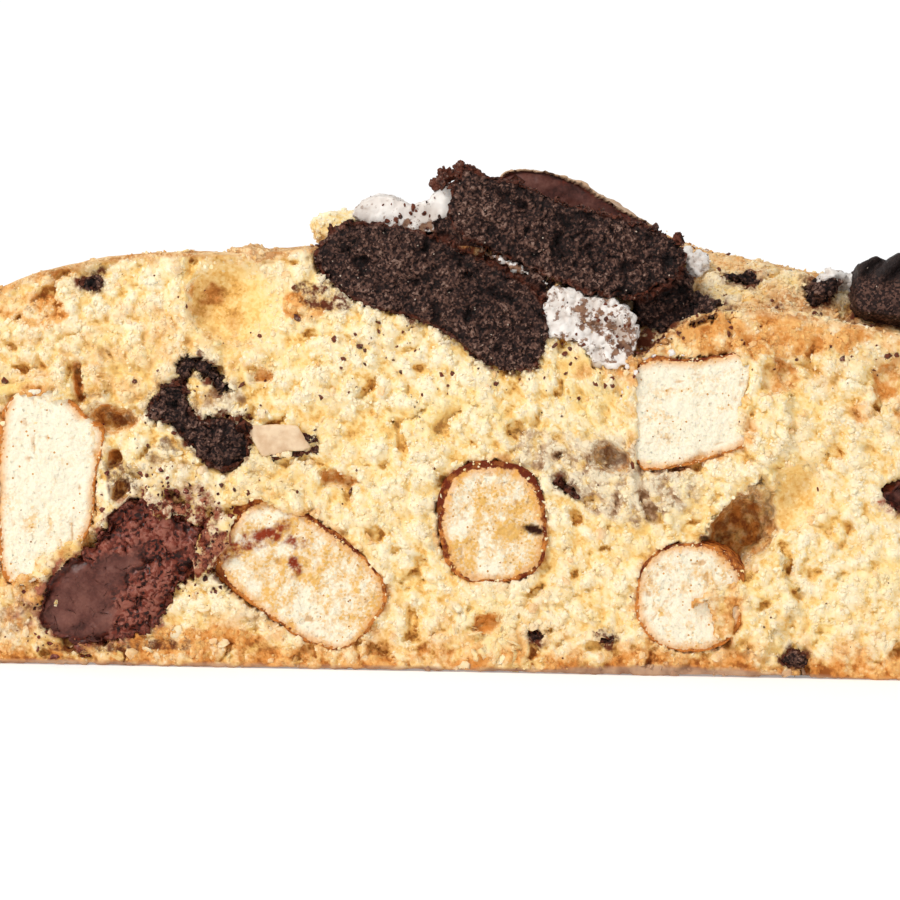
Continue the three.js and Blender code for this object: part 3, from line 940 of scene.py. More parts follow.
@dataclass
class Inclusion:
    """A piece baked into the dough: forms fused into one, trimmed by the knife and given its surface.

    Attributes:
        name: The piece's name, and its node's where standing is True.
        form: Its main form, whose space is the piece's own.
        place: That form's place.
        more: Further forms with their places.
        voxel: Size of the finished skin's faces.
        sway: How far noise pushes the outline about.
        ragged: The same for its small notches.
        standing: Whether the piece stands for a node of the frame.
    """

    name: str
    form: Form
    place: Place
    more: Sequence[tuple[Form, Place]] = ()
    voxel: float = 0.16
    sway: float = 0.16
    ragged: float = 0.08
    standing: bool = True
    stock: ClassVar[Stock] = Stock.DOUGH
    edge: KDTree | None = field(init=False, default=None)

    def edge_points(self, angle: float) -> bool:
        """Whether a stretch of the outline at this angle counts as edge."""
        return True

    def edge_distance(self, local: Vector, most: float = 2.0) -> float:
        """How far inside its outline a point of the cut face lies, and most for a piece with no outline."""
        if not isinstance(self.form, (Slab, Strand)):
            return most
        if self.edge is None:
            self.edge = self.edge_tree(self.form.ring)
        return min(most, self.edge.find(self.form.section(local))[2])

    def edge_tree(self, ring: Ring, step: float = 0.1) -> KDTree:
        """Points every step along the outline's edge, to be searched for the nearest."""
        points: list[Vector] = []
        for (x, z), (u, w) in zip(ring, ring[1:] + ring[:1]):
            if self.edge_points(math.degrees(math.atan2(w - z, u - x))):
                steps = max(1, round(math.hypot(u - x, w - z) / step))
                shares = (i / steps for i in range(steps))
                points.extend(Vector((x + (u - x) * t, 0.0, z + (w - z) * t)) for t in shares)
        tree = KDTree(len(points))
        for index, point in enumerate(points):
            tree.insert(point, index)
        tree.balance()
        return tree

    def touch(self, p: Vector, local: Vector, normal: Vector) -> Touch:
        """The surface's relief and marks, which each stock works out for itself.

        Args:
            p: The point in the slice.
            local: The point in the piece's own space.
            normal: The way the surface faces.

        Returns:
            The touch there.
        """
        raise NotImplementedError

    def cut(self, normal: Vector) -> float:
        """1 on a knife-cut face and 0 on any other."""
        return smooth(abs(normal.y), 0.75, 0.95)

    def build(self, knife: Knife, materials: Materials) -> Piece:
        """Makes the piece.

        Args:
            knife: The cuts that trim it.
            materials: Each stock's material.

        Returns:
            The new object, which rides on the slice.
        """
        shaped = []
        for form, place in ((self.form, self.place), *self.more):
            mesh = form.shape()
            mesh.transform(place.matrix())
            knife.trim(mesh)
            shaped.append(mesh)
        skin = fuse(shaped, self.voxel)
        for vert in skin.verts:
            push = noise.noise_vector(vert.co / 2.4) + 0.45 * noise.noise_vector(vert.co / 0.8)
            notch = noise.noise_vector(vert.co / 0.5) + 0.5 * noise.noise_vector(vert.co / 0.24)
            shift = Vector((push.x, 0.0, push.z)) * self.sway
            vert.co += shift + Vector((notch.x, 0.0, notch.z)) * self.ragged
        inward = self.place.matrix().inverted()
        raise_surface(skin, lambda p, normal, _: self.touch(p, inward @ p, normal))
        piece = finish_mesh(skin, self.name, materials[self.stock])
        dress(piece, self.stock)
        if self.standing:
            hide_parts(self.name)
        return piece


def dress(piece: Piece, stock: Stock) -> None:
    """Ties a piece to the slice and reports it."""
    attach(piece, BODY)
    LOG.info("%s: %d faces", piece.name, len(piece.data.polygons))


def clipped(marks: Mapping[str, float]) -> dict[str, float]:
    """Marks held between 0 and 1."""
    return {name: clamp(value) for name, value in marks.items()}


@dataclass
class Wafer(Inclusion):
    """Broken cocoa wafer, grainy all over; a moulded face keeps only a fine grain."""

    ragged: float = 0.22
    moulded: bool = False
    crisp: float = 0.0
    stock: ClassVar[Stock] = Stock.WAFER

    def touch(self, p: Vector, local: Vector, normal: Vector) -> Touch:
        """Packed crumbs, tears and small pits."""
        q = warp(p, 0.8, 0.25)
        crumb = grains(q, 0.42)
        fine = grains(p, 0.24, 0.3)
        tear = rough(p, 1.5, 3)
        pit = smooth(wave(q, 0.6, 8), 0.2, 0.55)
        amount = 0.12 + 0.88 * smooth(local.y, -0.9, 0.6) if self.moulded else 1.0
        inner = self.edge_distance(local)
        verge = smooth(inner + 0.12 * wave(p, 0.5, 6), 0.5, 0.0)
        height = amount * (0.16 * (crumb - 0.5) + 0.12 * (fine - 0.4) + 0.2 * tear - 0.2 * pit) - 0.22 * verge
        cavity = 0.52 + amount * (0.26 * (crumb - 0.45) + 0.3 * (fine - 0.4) + 0.18 * tear - 0.34 * pit)
        # sheen marks the moulded face, which is smoother and takes a greyer colour that is partly painted
        # sheen.
        sheen = (1 - amount) * smooth(local.z, -0.4, 0.6)
        fringe = 0.7 * smooth(inner + 0.15 * wave(p, 0.4, 16), 0.3, 0.05)
        marks = {"cavity": cavity, "sheen": sheen, "fringe": max(fringe, self.crisp)}
        return Touch(max(height, -0.45), clipped(marks))


@dataclass
class Cream(Inclusion):
    """Sugar cream, smooth where squeezed out and flaky where it broke."""

    ragged: float = 0.2
    flaky: float = 0.5
    smudge: float = 0.05
    stains: Sequence[Spot] = ()
    stock: ClassVar[Stock] = Stock.CREAM

    def touch(self, p: Vector, local: Vector, normal: Vector) -> Touch:
        """Soft folds with flakes over them."""
        q = warp(p, 0.9, 0.35)
        flake = grains(q, 0.6)
        crumb = grains(q, 0.3)
        fold = rough(p, 1.7, 5)
        dent = smooth(wave(q, 1.0, 4), 0.1, 0.5)
        stain = 0.68 * covered(self.stains, p, 1.2)
        flakes = self.flaky * (0.2 * (flake - 0.5) + 0.1 * (crumb - 0.4) - 0.3 * dent)
        height = 0.16 * fold + flakes - 0.06 * stain
        cavity = 0.74 + self.flaky * (0.4 * (flake - 0.5) + 0.2 * (crumb - 0.4) - 0.8 * dent) + 0.5 * fold
        return Touch(max(height, -0.38), clipped({"cavity": cavity, "smudge": max(self.smudge, stain)}))


@dataclass
class Chocolate(Inclusion):
    """Chocolate with a smooth smeared part and a crumbled one.

    Attributes:
        crumble_from: Where along X the crumbled part starts, in the piece's own space.
        crumble_over: How high over its middle the top part is crumbled too.
        filmed: Whether what faces up is covered by a thin baked film.
    """

    ragged: float = 0.3
    crumble_from: float = 0.6
    crumble_over: float = 9.0
    filmed: bool = False
    stock: ClassVar[Stock] = Stock.CHOCOLATE

    def touch(self, p: Vector, local: Vector, normal: Vector) -> Touch:
        """Drag lines on the smooth part and lumps on the other."""
        q = warp(p, 0.9, 0.3)
        along = local.x - 0.5 * local.z + 0.9 * wave(p, 1.5, 2) + 0.5 * wave(p, 0.6, 22)
        above = local.z - 0.3 * local.x - self.crumble_over + 0.8 * wave(p, 1.1, 12) + 0.4 * wave(p, 0.5, 23)
        crumbled = smooth(along, self.crumble_from - 0.5, self.crumble_from + 0.5)
        crumbled = max(crumbled, smooth(above, -0.3, 0.5))
        lump = grains(q, 0.6)
        small = grains(q, 0.3)
        tear = rough(p, 1.8, 7)
        streak = Vector((local.x * 0.3 + local.z * 0.2, local.y * 0.5, local.z * 1.1 - local.x * 0.7))
        drag = wave(streak, 0.9, 6) + 0.5 * wave(streak, 0.4, 7)
        inner = self.edge_distance(local)
        verge = smooth(inner + 0.2 * wave(p, 0.9, 6), 0.8, 0.0) * self.cut(normal)
        scuffed = 0.08 * rough(p, 0.9, 8) * smooth(wave(p, 1.7, 4), -0.2, 0.4)
        ridged = 0.08 * drag + 0.2 * wave(p, 2.1, 1) + scuffed
        height = (1 - crumbled) * ridged - 0.3 * verge
        height += crumbled * (0.24 * (lump - 0.5) + 0.14 * (small - 0.4) + 0.3 * tear)
        # The cavity mark paints shade where the edge dips and in the creases, and highlight on ridges and
        # lumps.
        cavity = 0.54 + (1 - crumbled) * (0.22 * drag + 0.14 * wave(p, 1.6, 3)) - 0.3 * verge
        cavity += crumbled * (0.5 * (lump - 0.4) + 0.4 * (small - 0.4) + 0.4 * tear)
        film = smooth(normal.z + 0.3 * wave(p, 0.9, 9), 0.3, 0.6) if self.filmed else 0.0
        fringe = smooth(inner + 0.25 * wave(p, 0.6, 16), 0.45, 0.1)
        marks = {"cavity": cavity, "crumbled": crumbled, "film": film, "fringe": fringe}
        return Touch(max(height, -0.45), clipped(marks))


@dataclass
class Pretzel(Inclusion):
    """Pretzel strand with a porous inside and a thin rind.

    Attributes:
        rind: Thickness of the rind at its thinnest and its thickest.
        grain_way: Angle of the strand in the cut face, where it was cut lengthwise and so has two rinds only.
        warmth: How yellow the inside is.
        baked: How dark the rind is.
        stains: Places where chocolate was dragged over it.
        holes: Places where the cut face has a hole, painted dark as shade.
    """

    rind: tuple[float, float] = (0.16, 0.34)
    grain_way: float | None = None
    warmth: float = 0.5
    baked: float = 0.5
    stains: Sequence[Spot] = ()
    holes: Sequence[Spot] = ()
    stock: ClassVar[Stock] = Stock.PRETZEL

    def edge_points(self, angle: float) -> bool:
        """Whether the rind runs along the outline here: only at its sides where it was cut lengthwise."""
        return self.grain_way is None or abs((angle - self.grain_way + 90) % 180 - 90) < 38

    def fibre(self, p: Vector) -> Vector:
        """A point turned to lie along the strand and drawn out that way, most where it was cut lengthwise."""
        way, pull = (90.0, 0.7) if self.grain_way is None else (self.grain_way, 0.28)
        across, up = math.cos(math.radians(way)), math.sin(math.radians(way))
        return Vector((p.z * across - p.x * up, p.y, (p.x * across + p.z * up) * pull))

    def touch(self, p: Vector, local: Vector, normal: Vector) -> Touch:
        """Fine pores inside, and a smooth blistered rind."""
        inner = self.edge_distance(local)
        thin, thick = self.rind
        high = smooth(local.z, -1.0, 2.4)
        level = thin + (thick - thin) * (0.3 + 0.5 * high + 0.6 * wave(p, 1.1, 12))
        cut = self.cut(normal)
        rind = smooth(inner + 0.06 * wave(p, 0.3, 5) - 0.3 * (1 - cut), level * 1.2, level * 0.4)
        inside = cut * (1 - rind)
        fibre = self.fibre(warp(p, 0.6, 0.12))
        pore = smooth(wave(fibre, 0.28, 4), 0.1, 0.55) * smooth(wave(p, 1.4, 8), -0.5, 0.3)
        tear = rough(p, 1.3, 7)
        pitted = rough(p, 0.42, 9)
        verge = smooth(inner + 0.1 * wave(p, 0.6, 18), 0.3, 0.0) * cut
        height = inside * (0.14 * tear + 0.08 * pitted - 0.06 * pore) - 0.14 * verge + 0.05 * (1 - cut) * tear
        cavity = 0.75 - 0.6 * pore + 0.3 * tear + 0.25 * pitted
        shade = self.warmth + 0.35 * wave(p, 1.8, 15) + 0.5 * wave(fibre, 0.45, 25)
        hole = covered(self.holes, p, 0.6) * cut
        marks = {
            "cavity": clamp(cavity) * (1 - hole),
            "rind": rind,
            "glow": 0.75 * smooth(inner + 0.1 * wave(p, 0.7, 11), level + 0.45, level * 0.8) * cut,
            "warmth": shade,
            "baked": self.baked + 0.45 * (high - 0.4) + 0.3 * wave(p, 0.8, 13),
            "stain": covered(self.stains, warp(p, 0.5, 0.3), 0.9),
            "hole": hole,
        }
        return Touch(height - 0.35 * hole, clipped(marks))


@dataclass
class Chip(Inclusion):
    """A smooth pale chip."""

    stock: ClassVar[Stock] = Stock.CHIP

    def touch(self, p: Vector, local: Vector, normal: Vector) -> Touch:
        """Shallow dents."""
        dent = rough(p, 1.1, 3)
        return Touch(0.08 * dent, clipped({"cavity": 0.7 + 0.35 * dent}))


@dataclass
class DoughLump(Inclusion):
    """A clot of dough, browner towards its bottom and browned above by crust."""

    toast: float = 0.4
    crust: float = 0.0
    stock: ClassVar[Stock] = Stock.DOUGH

    def touch(self, p: Vector, local: Vector, normal: Vector) -> Touch:
        """Open crumb all round."""
        height, cavity = crumb_relief(p)
        marks = dict.fromkeys(DOUGH_MARKS, 0.0)
        marks.update(cavity=cavity, toast=self.toast * smooth(local.z, 0.3, -0.7), crust=self.crust)
        return Touch(height * 0.6, marks)


# ---- The dough ----

DOUGH_MARKS = ("cavity", "crust", "skin", "toast", "greyed", "cocoa", "chocolate", "open")
BESIDE = ((0.2, 0.0, 0.0), (-0.2, 0.0, 0.0), (0.0, 0.0, 0.2), (0.0, 0.0, -0.2))  # the places tried near by
ON_FACE = 0.9999  # box coordinate past which a point lies on that side of the box
NO_PIECE = -2.0  # how far a piece is said to stand out where there is none


def crumb_relief(p: Vector) -> tuple[float, float]:
    """Torn open crumb.

    Args:
        p: The point on the plain surface.

    Returns:
        How far the crumb stands out there, and how open to the light it is, 0 to 1.
    """
    q = warp(p, 1.6, 0.45)
    tear = rough(p, 4.2, 1)
    clump = grains(q, 1.15, 0.35)
    grain = grains(warp(p, 0.6, 0.12), 0.5, 0.3)
    ragged = rough(q, 0.9, 2)
    pit = smooth(wave(q, 0.9, 6), 0.27, 0.42) * smooth(wave(p, 3.1, 9), -0.35, 0.2)
    height = 0.38 * tear + 0.18 * (clump - 0.4) + 0.1 * (grain - 0.4) + 0.16 * ragged - 0.45 * pit
    cavity = 0.63 + 0.3 * (clump - 0.35) + 0.26 * (grain - 0.35) + 0.36 * ragged + 0.14 * tear - 0.42 * pit
    return height, clamp(cavity)


@dataclass(frozen=True)
class Outline:
    """The slice's outer form: a box bent to a low dome, in millimetres."""

    length: float
    thickness: float
    crown: float = 21.2
    crown_drop: float = 0.45
    crown_power: float = 2.4
    shoulder: float = 40.0
    foot: float = 43.9

    @classmethod
    def of_frame(cls) -> "Outline":
        """Length and thickness as the frame has them."""
        low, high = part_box("crumb")
        return cls(length=(high[0] - low[0]) / MM, thickness=(high[1] - low[1]) / MM)

    @property
    def front(self) -> float:
        """The front cut's place on Y."""
        return -self.thickness / 2

    @property
    def back(self) -> float:
        """The back cut's place on Y."""
        return self.thickness / 2

    def crust_height(self, x: float, y: float) -> float:
        """Height of the crust: the dome, the dough heaped behind the biscuit, and its low edge."""
        crown = self.crown * (1 - self.crown_drop * abs(x / (self.length / 2)) ** self.crown_power)
        mound = 3.2 * bell(x, 4.5, 6.5) * smooth(y, -7.0, -1.5)
        low = 2.2 * smooth(x, 5.0, 9.0) * (1 - smooth(x, 24.0, 30.0)) + 3.2 * bell(x, 7.8, 3.2)
        dip = low * (1 - smooth(y, self.front, -3.0))
        sag = 0.8 * bell(x, -25.0, 3.0)
        return crown + mound - dip - sag + 0.3 * wave(Vector((x, y, 0.0)), 6.0, 4)

    def half_length(self, v: float) -> float:
        """Half the length at a share v of the height, fullest at mid height."""
        lean = self.foot - self.shoulder
        reach = self.length / 2 - (self.foot + self.shoulder) / 2
        bulge = (reach + math.sqrt(reach**2 - lean**2 / 4)) / 2
        return self.foot - lean * v + 4 * bulge * v * (1 - v)

    def bend(self, unit: Vector) -> Vector:
        """The slice's point for a point of the box from -1 to 1."""
        v = (unit.z + 1) / 2
        y = unit.y * self.thickness / 2
        return Vector((unit.x * self.half_length(v), y, v * self.crust_height(unit.x * self.shoulder, y)))


@dataclass(frozen=True)
class Pocket:
    """An air hollow in a cut face, deeper by lean towards its low-X side, with a ragged mouth."""

    spot: Spot
    deep: float
    side: int = FRONT
    sleek: float = 0.7
    # How strongly the hollow's walls take painted shade, browner with depth and darker in the upper part that
    # the light above misses.
    brown: float = 0.5
    lean: float = 0.0
    ragged: float = 1.0

    def depth(self, p: Vector) -> float:
        """How far the wall lies behind the face here."""
        level = self.spot.level(p) * (1 + self.ragged * (0.6 * wave(p, 1.0, 21) + 0.6 * wave(p, 0.42, 22)))
        aside = max(-1.0, min(1.0, 2 * (p.x - self.spot.x) / self.spot.wide))
        fall = 0.5 + 0.7 * max(0.0, self.lean * aside)
        return self.deep * (1 - self.lean * aside) * (1 - level) ** fall if level < 1 else 0.0


@dataclass(frozen=True)
class Smear:
    """A stain on a cut face."""

    spot: Spot
    mark: str
    side: int
    strength: float


@dataclass
class Dough:
    """The dough: one closed mesh, finest over the middle of the front face.

    Attributes:
        outline: Its outer form.
        pockets: Air hollows.
        smears: Stains.
        overlaps: Places on the front where crumb lies over a piece set in the dough.
        counts: Faces along, through and up the slice before parts are refined.
        fine_reach: Half length of the finest part.
        sink: How far the dough stays under a piece's face.
        seen_within: Depth to which a piece keeps the dough off it.
        lap: How far crumb that lies over a piece is raised.
        halo_reach: How far off a piece may stain the crumb.
    """

    outline: Outline
    pockets: Sequence[Pocket]
    smears: Sequence[Smear]
    overlaps: Sequence[Spot]
    counts: tuple[int, int, int] = (160, 26, 36)
    fine_reach: float = 23.4
    sink: float = 0.16
    seen_within: float = 0.95
    lap: float = 0.42
    halo_reach: float = 0.9

    def build(
        self, covers: BVHTree, halos: Mapping[str, tuple[BVHTree, float]], material: Material
    ) -> Piece:
        """Makes the dough.

        Args:
            covers: The pieces set in it, in millimetres, which it stays under.
            halos: The pieces that stain the crumb round them and how much, by the mark they leave.
            material: Its material.

        Returns:
            The new object.
        """
        mesh = box_grid(self.counts)
        reach = self.fine_reach / self.outline.foot
        refine(mesh, lambda m: abs(m.y) > ON_FACE or self.slopes(m))
        refine(mesh, lambda m: (m.y < -ON_FACE or self.slopes(m)) and abs(m.x) < reach)
        units = [vert.co.copy() for vert in mesh.verts]
        for vert in mesh.verts:
            vert.co = self.outline.bend(vert.co)

        def rule(p: Vector, normal: Vector, index: int) -> Touch:
            """The dough's own relief and the stains round the pieces, kept under those pieces."""
            touch = self.surface(p, units[index])
            for mark, (pieces, strength) in halos.items():
                near = pieces.find_nearest(p, self.halo_reach)[3]
                if near is not None:
                    halo = strength * smooth(near + 0.35 * wave(p, 0.8, 51), 0.5, 0.0)
                    touch.marks[mark] = max(touch.marks[mark], halo)
            return self.under_pieces(touch, covers, p, normal)

        raise_surface(mesh, rule)
        piece = finish_mesh(mesh, "dough", material)
        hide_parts("crumb")
        dress(piece, Stock.DOUGH)
        return piece

    def under_pieces(self, touch: Touch, covers: BVHTree, p: Vector, normal: Vector) -> Touch:
        """Keeps the dough under a piece's face, but for the crumb that laps over it.

        Args:
            touch: The dough's own touch.
            covers: The pieces set in it.
            p: The point on the plain surface.
            normal: The way the surface faces.

        Returns:
            The touch, whose mark "open" is 0 under a piece and 1 elsewhere.
        """
        stand = self.lowest(covers, p, normal)
        height, is_open = touch.height, 1.0
        edge = 1 + 0.8 * wave(p, 0.8, 61)
        if normal.y < -0.5 and any(spot.level(p) * edge < 1 for spot in self.overlaps):
            height += self.lap
        elif stand >= -self.seen_within:
            height, is_open = min(height, stand - self.sink), 0.0
        return Touch(height, {**touch.marks, "open": is_open})

    def slopes(self, middle: Vector) -> bool:
        """Whether a face of the box lies on the crumbly slope beside the biscuit."""
        x = middle.x * self.outline.shoulder
        return middle.z > ON_FACE and middle.y < -0.25 and 6.0 < x < 24.0

    def stand(self, covers: BVHTree, p: Vector, normal: Vector, reach: float = 9.0) -> float:
        """How far a piece stands out over the plain surface."""
        hit, _, _, distance = covers.ray_cast(p + normal * reach, -normal, reach + 1.6)
        return reach - distance if hit else NO_PIECE

    def lowest(self, covers: BVHTree, p: Vector, normal: Vector) -> float:
        """How far a piece stands out here or, where it lies all round, at the lowest place near by."""
        stand = self.stand(covers, p, normal)
        if stand < -self.seen_within or abs(normal.y) < 0.5:
            return stand
        near = [self.stand(covers, p + Vector(step), normal) for step in BESIDE]
        return min(stand, *near) if min(near) > -self.seen_within else stand

    def surface(self, p: Vector, unit: Vector) -> Touch:
        """The relief and marks of the face that a point of the box lies on."""
        if abs(unit.y) > ON_FACE:
            return self.cut_face(p, FRONT if unit.y < 0 else BACK)
        return self.base(p) if unit.z < -ON_FACE else self.crust(p)

    def cut_face(self, p: Vector, side: int) -> Touch:
        """Crumb, with hollows painted in shade, browning by the crust and base, and smears."""
        height, cavity = crumb_relief(p)
        marks = dict.fromkeys(DOUGH_MARKS, 0.0)
        under = self.outline.crust_height(p.x, p.y) - p.z
        marks["toast"] = self.browning(p, under)
        calm = 0.6 * smooth(under, 2.4, 0.8) * smooth(p.x, 7.0, 10.0)
        height *= 1 - calm
        # calm pulls the cavity mark to a middle value; the last term lowers it towards the base, a painted
        # shade.
        cavity += (0.66 - cavity) * calm - 0.22 * math.exp(-max(p.z, 0.0) / 0.8)
        hollow = 0.0
        for pocket in self.pockets:
            depth = pocket.depth(p) if pocket.side == side else 0.0
            if depth > hollow:
                hollow = depth
                inside = smooth(depth, 0.0, 0.35 * pocket.deep) * pocket.sleek
                height *= 1 - inside
                # The hollow's walls are painted in shade: a lower cavity mark and more toast with depth, and
                # cocoa in the upper part that the light from above misses.
                cavity += (0.72 - 0.4 * depth / pocket.deep - cavity) * inside
                marks["toast"] = max(marks["toast"], pocket.brown * smooth(depth, 0.05, 0.8 * pocket.deep))
                shaded = smooth(p.z + 0.5 * wave(p, 0.8, 24), pocket.spot.z - 2.2, pocket.spot.z - 0.2)
                marks["cocoa"] = 0.55 * pocket.brown * shaded * smooth(depth, 0.4, 1.6)
        for smear in self.smears:
            if smear.side == side:
                marks[smear.mark] = max(marks[smear.mark], smear.strength * smear.spot.cover(p))
        marks["crust"] = smooth(under + 0.12 * wave(p, 0.8, 2), 0.3, 0.1)
        marks["skin"] = smooth(p.z, self.skin_thickness(p.x) + 0.1, self.skin_thickness(p.x) - 0.1)
        edge = smooth(min(p.z, max(under, 0.0)), 0.0, 0.5)
        marks["cavity"] = clamp(cavity)
        return Touch((height - 0.12) * (0.35 + 0.65 * edge) - hollow, marks)

    def skin_thickness(self, x: float) -> float:
        """Thickness of the base's skin as the cut shows it."""
        along = Vector((x, 0.0, 0.0))
        broad = 0.16 + 0.3 * bell(x, 11.0, 4.5) - 0.14 * bell(x, 20.5, 4.0)
        return broad + 0.1 * wave(along, 2.3, 17) + 0.08 * wave(along, 0.7, 18)

    def browning(self, p: Vector, under: float) -> float:
        """How browned the crumb is, by its distance from the crust and the base."""
        baked = 1.1 * math.exp(-max(under, 0.0) / (0.45 + 1.3 * smooth(p.x, 5.0, 11.0)))
        below = 1.3 * math.exp(-max(p.z, 0.0) / 1.4)
        return clamp(max(baked, below) + 0.25 * wave(p, 2.0, 41))

    def crust(self, p: Vector) -> Touch:
        """Thin baked skin, blistered, browner in patches and crumbly beside the biscuit, with painted shade
        round the biscuit and behind the lip.
        """
        crumbly = smooth(p.x, 6.0, 9.0) * (1 - smooth(p.x, 22.0, 26.0)) * smooth(p.y, -2.6, -4.4)
        behind_lip = smooth(p.x, 8.0, 10.0) * (1 - smooth(p.x, 20.0, 23.0)) * bell(p.y, -7.2, 0.8)
        crumb_height, crumb_cavity = crumb_relief(p)
        blister = 0.16 * wave(p, 3.0, 9) + 0.07 * wave(p, 1.1, 10) + 0.05 * grains(p, 0.55)
        height = blister * (1 - crumbly) + 0.8 * crumb_height * crumbly - 0.4 * behind_lip
        bare = crumbly * smooth(wave(p, 2.3, 12), -0.35, 0.1)
        marks = dict.fromkeys(DOUGH_MARKS, 0.0)
        marks["cavity"] = 0.62 + (crumb_cavity - 0.62) * crumbly
        marks["crust"] = 1 - 0.85 * bare
        marks["toast"] = clamp(0.35 + 0.7 * wave(p, 2.6, 14))
        marks["skin"] = smooth(p.z, 1.4, 0.3)
        spotted = 0.35 * smooth(abs(p.x - 2.0), 12.0, 5.0) * smooth(wave(p, 0.8, 19), 0.1, 0.5)
        # Painted shade in the cocoa mark: valley darkens the crust under the upper wafer's end, seam the
        # dough showing between the wafers and behind_lip the groove behind the lip; spotted is the crust's
        # own dark spots.
        valley = bell(p.x, 10.0, 1.5) * smooth(p.y, -3.6, -5.4)
        seam = smooth(abs(p.x - 1.6), 2.8, 1.4) * smooth(p.y, -4.5, -6.5)
        marks["cocoa"] = max(spotted, valley, seam, 0.6 * behind_lip * smooth(wave(p, 1.1, 23), -0.1, 0.4))
        return Touch(height, marks)

    def base(self, p: Vector) -> Touch:
        """Flat browned skin."""
        marks = dict.fromkeys(DOUGH_MARKS, 0.0)
        marks.update(cavity=0.6, skin=1.0)
        return Touch(-0.05 - 0.05 * wave(p, 2.2, 16), marks)


# ---- Loose crumbs ----


class Surface(NamedTuple):
    """The faces of finished pieces, in millimetres, with the marks at each."""

    centres: np.ndarray
    normals: np.ndarray
    areas: np.ndarray
    marks: dict[str, np.ndarray]

    @classmethod
    def of(cls, *pieces: Piece) -> "Surface":
        """Reads the faces of pieces that have the same marks."""
        parts = [cls.of_one(piece) for piece in pieces]
        names = set(parts[0].marks).intersection(*(part.marks for part in parts))
        marks = {name: np.concatenate([part.marks[name] for part in parts]) for name in sorted(names)}
        columns = (np.concatenate([part[i] for part in parts]) for i in range(3))
        return cls(*columns, marks)

    @classmethod
    def of_one(cls, piece: Piece) -> "Surface":
        """Reads one piece's faces."""
        faces = piece.data.polygons
        columns = {"center": (3, "f4"), "normal": (3, "f4"), "area": (1, "f4"), "loop_start": (1, "i4")}
        read = {}
        for name, (width, kind) in columns.items():
            read[name] = np.empty(len(faces) * width, dtype=kind)
            faces.foreach_get(name, read[name])
        corners = np.empty(len(piece.data.loops), dtype="i4")
        piece.data.loops.foreach_get("vertex_index", corners)
        first = corners[read["loop_start"]]
        marks = {}
        for attribute in piece.data.attributes:
            if attribute.data_type == "FLOAT" and attribute.domain == "POINT":
                values = np.empty(len(piece.data.vertices), dtype="f4")
                attribute.data.foreach_get("value", values)
                marks[attribute.name] = values[first]
        centres = read["center"].reshape(-1, 3) / MM
        return cls(centres, read["normal"].reshape(-1, 3), read["area"] / MM**2, marks)

    def near(self, x: float, z: float, reach: float) -> np.ndarray:
        """How near faces lie to a place on the front, 1 there and fading over reach."""
        return np.exp(-((self.centres[:, 0] - x) ** 2 + (self.centres[:, 2] - z) ** 2) / reach**2)

    def facing(self, side: int) -> np.ndarray:
        """1 on the faces of the cut on one side and 0 elsewhere, where nothing set in the dough shows."""
        return (self.normals[:, 1] * side > 0.25) * self.marks["open"] * (self.centres[:, 2] > 0.3)

    def raised(self) -> np.ndarray:
        """0 in the hollows of the crumb and 1 on its clumps."""
        return np.clip((self.marks["cavity"] - 0.4) / 0.3, 0.0, 1.0)

    def clumps(self, side: int) -> np.ndarray:
        """1 on the clumps of the crumb on one side and 0 elsewhere."""
        return self.facing(side) * self.raised()

    def crust(self) -> np.ndarray:
        """1 on the bare crust and 0 elsewhere."""
        return (self.normals[:, 2] > 0.3) * self.marks["open"]

    def between(self, low: float, high: float) -> np.ndarray:
        """Whether each face lies within a stretch of the slice's length."""
        return (self.centres[:, 0] > low) & (self.centres[:, 0] <= high)


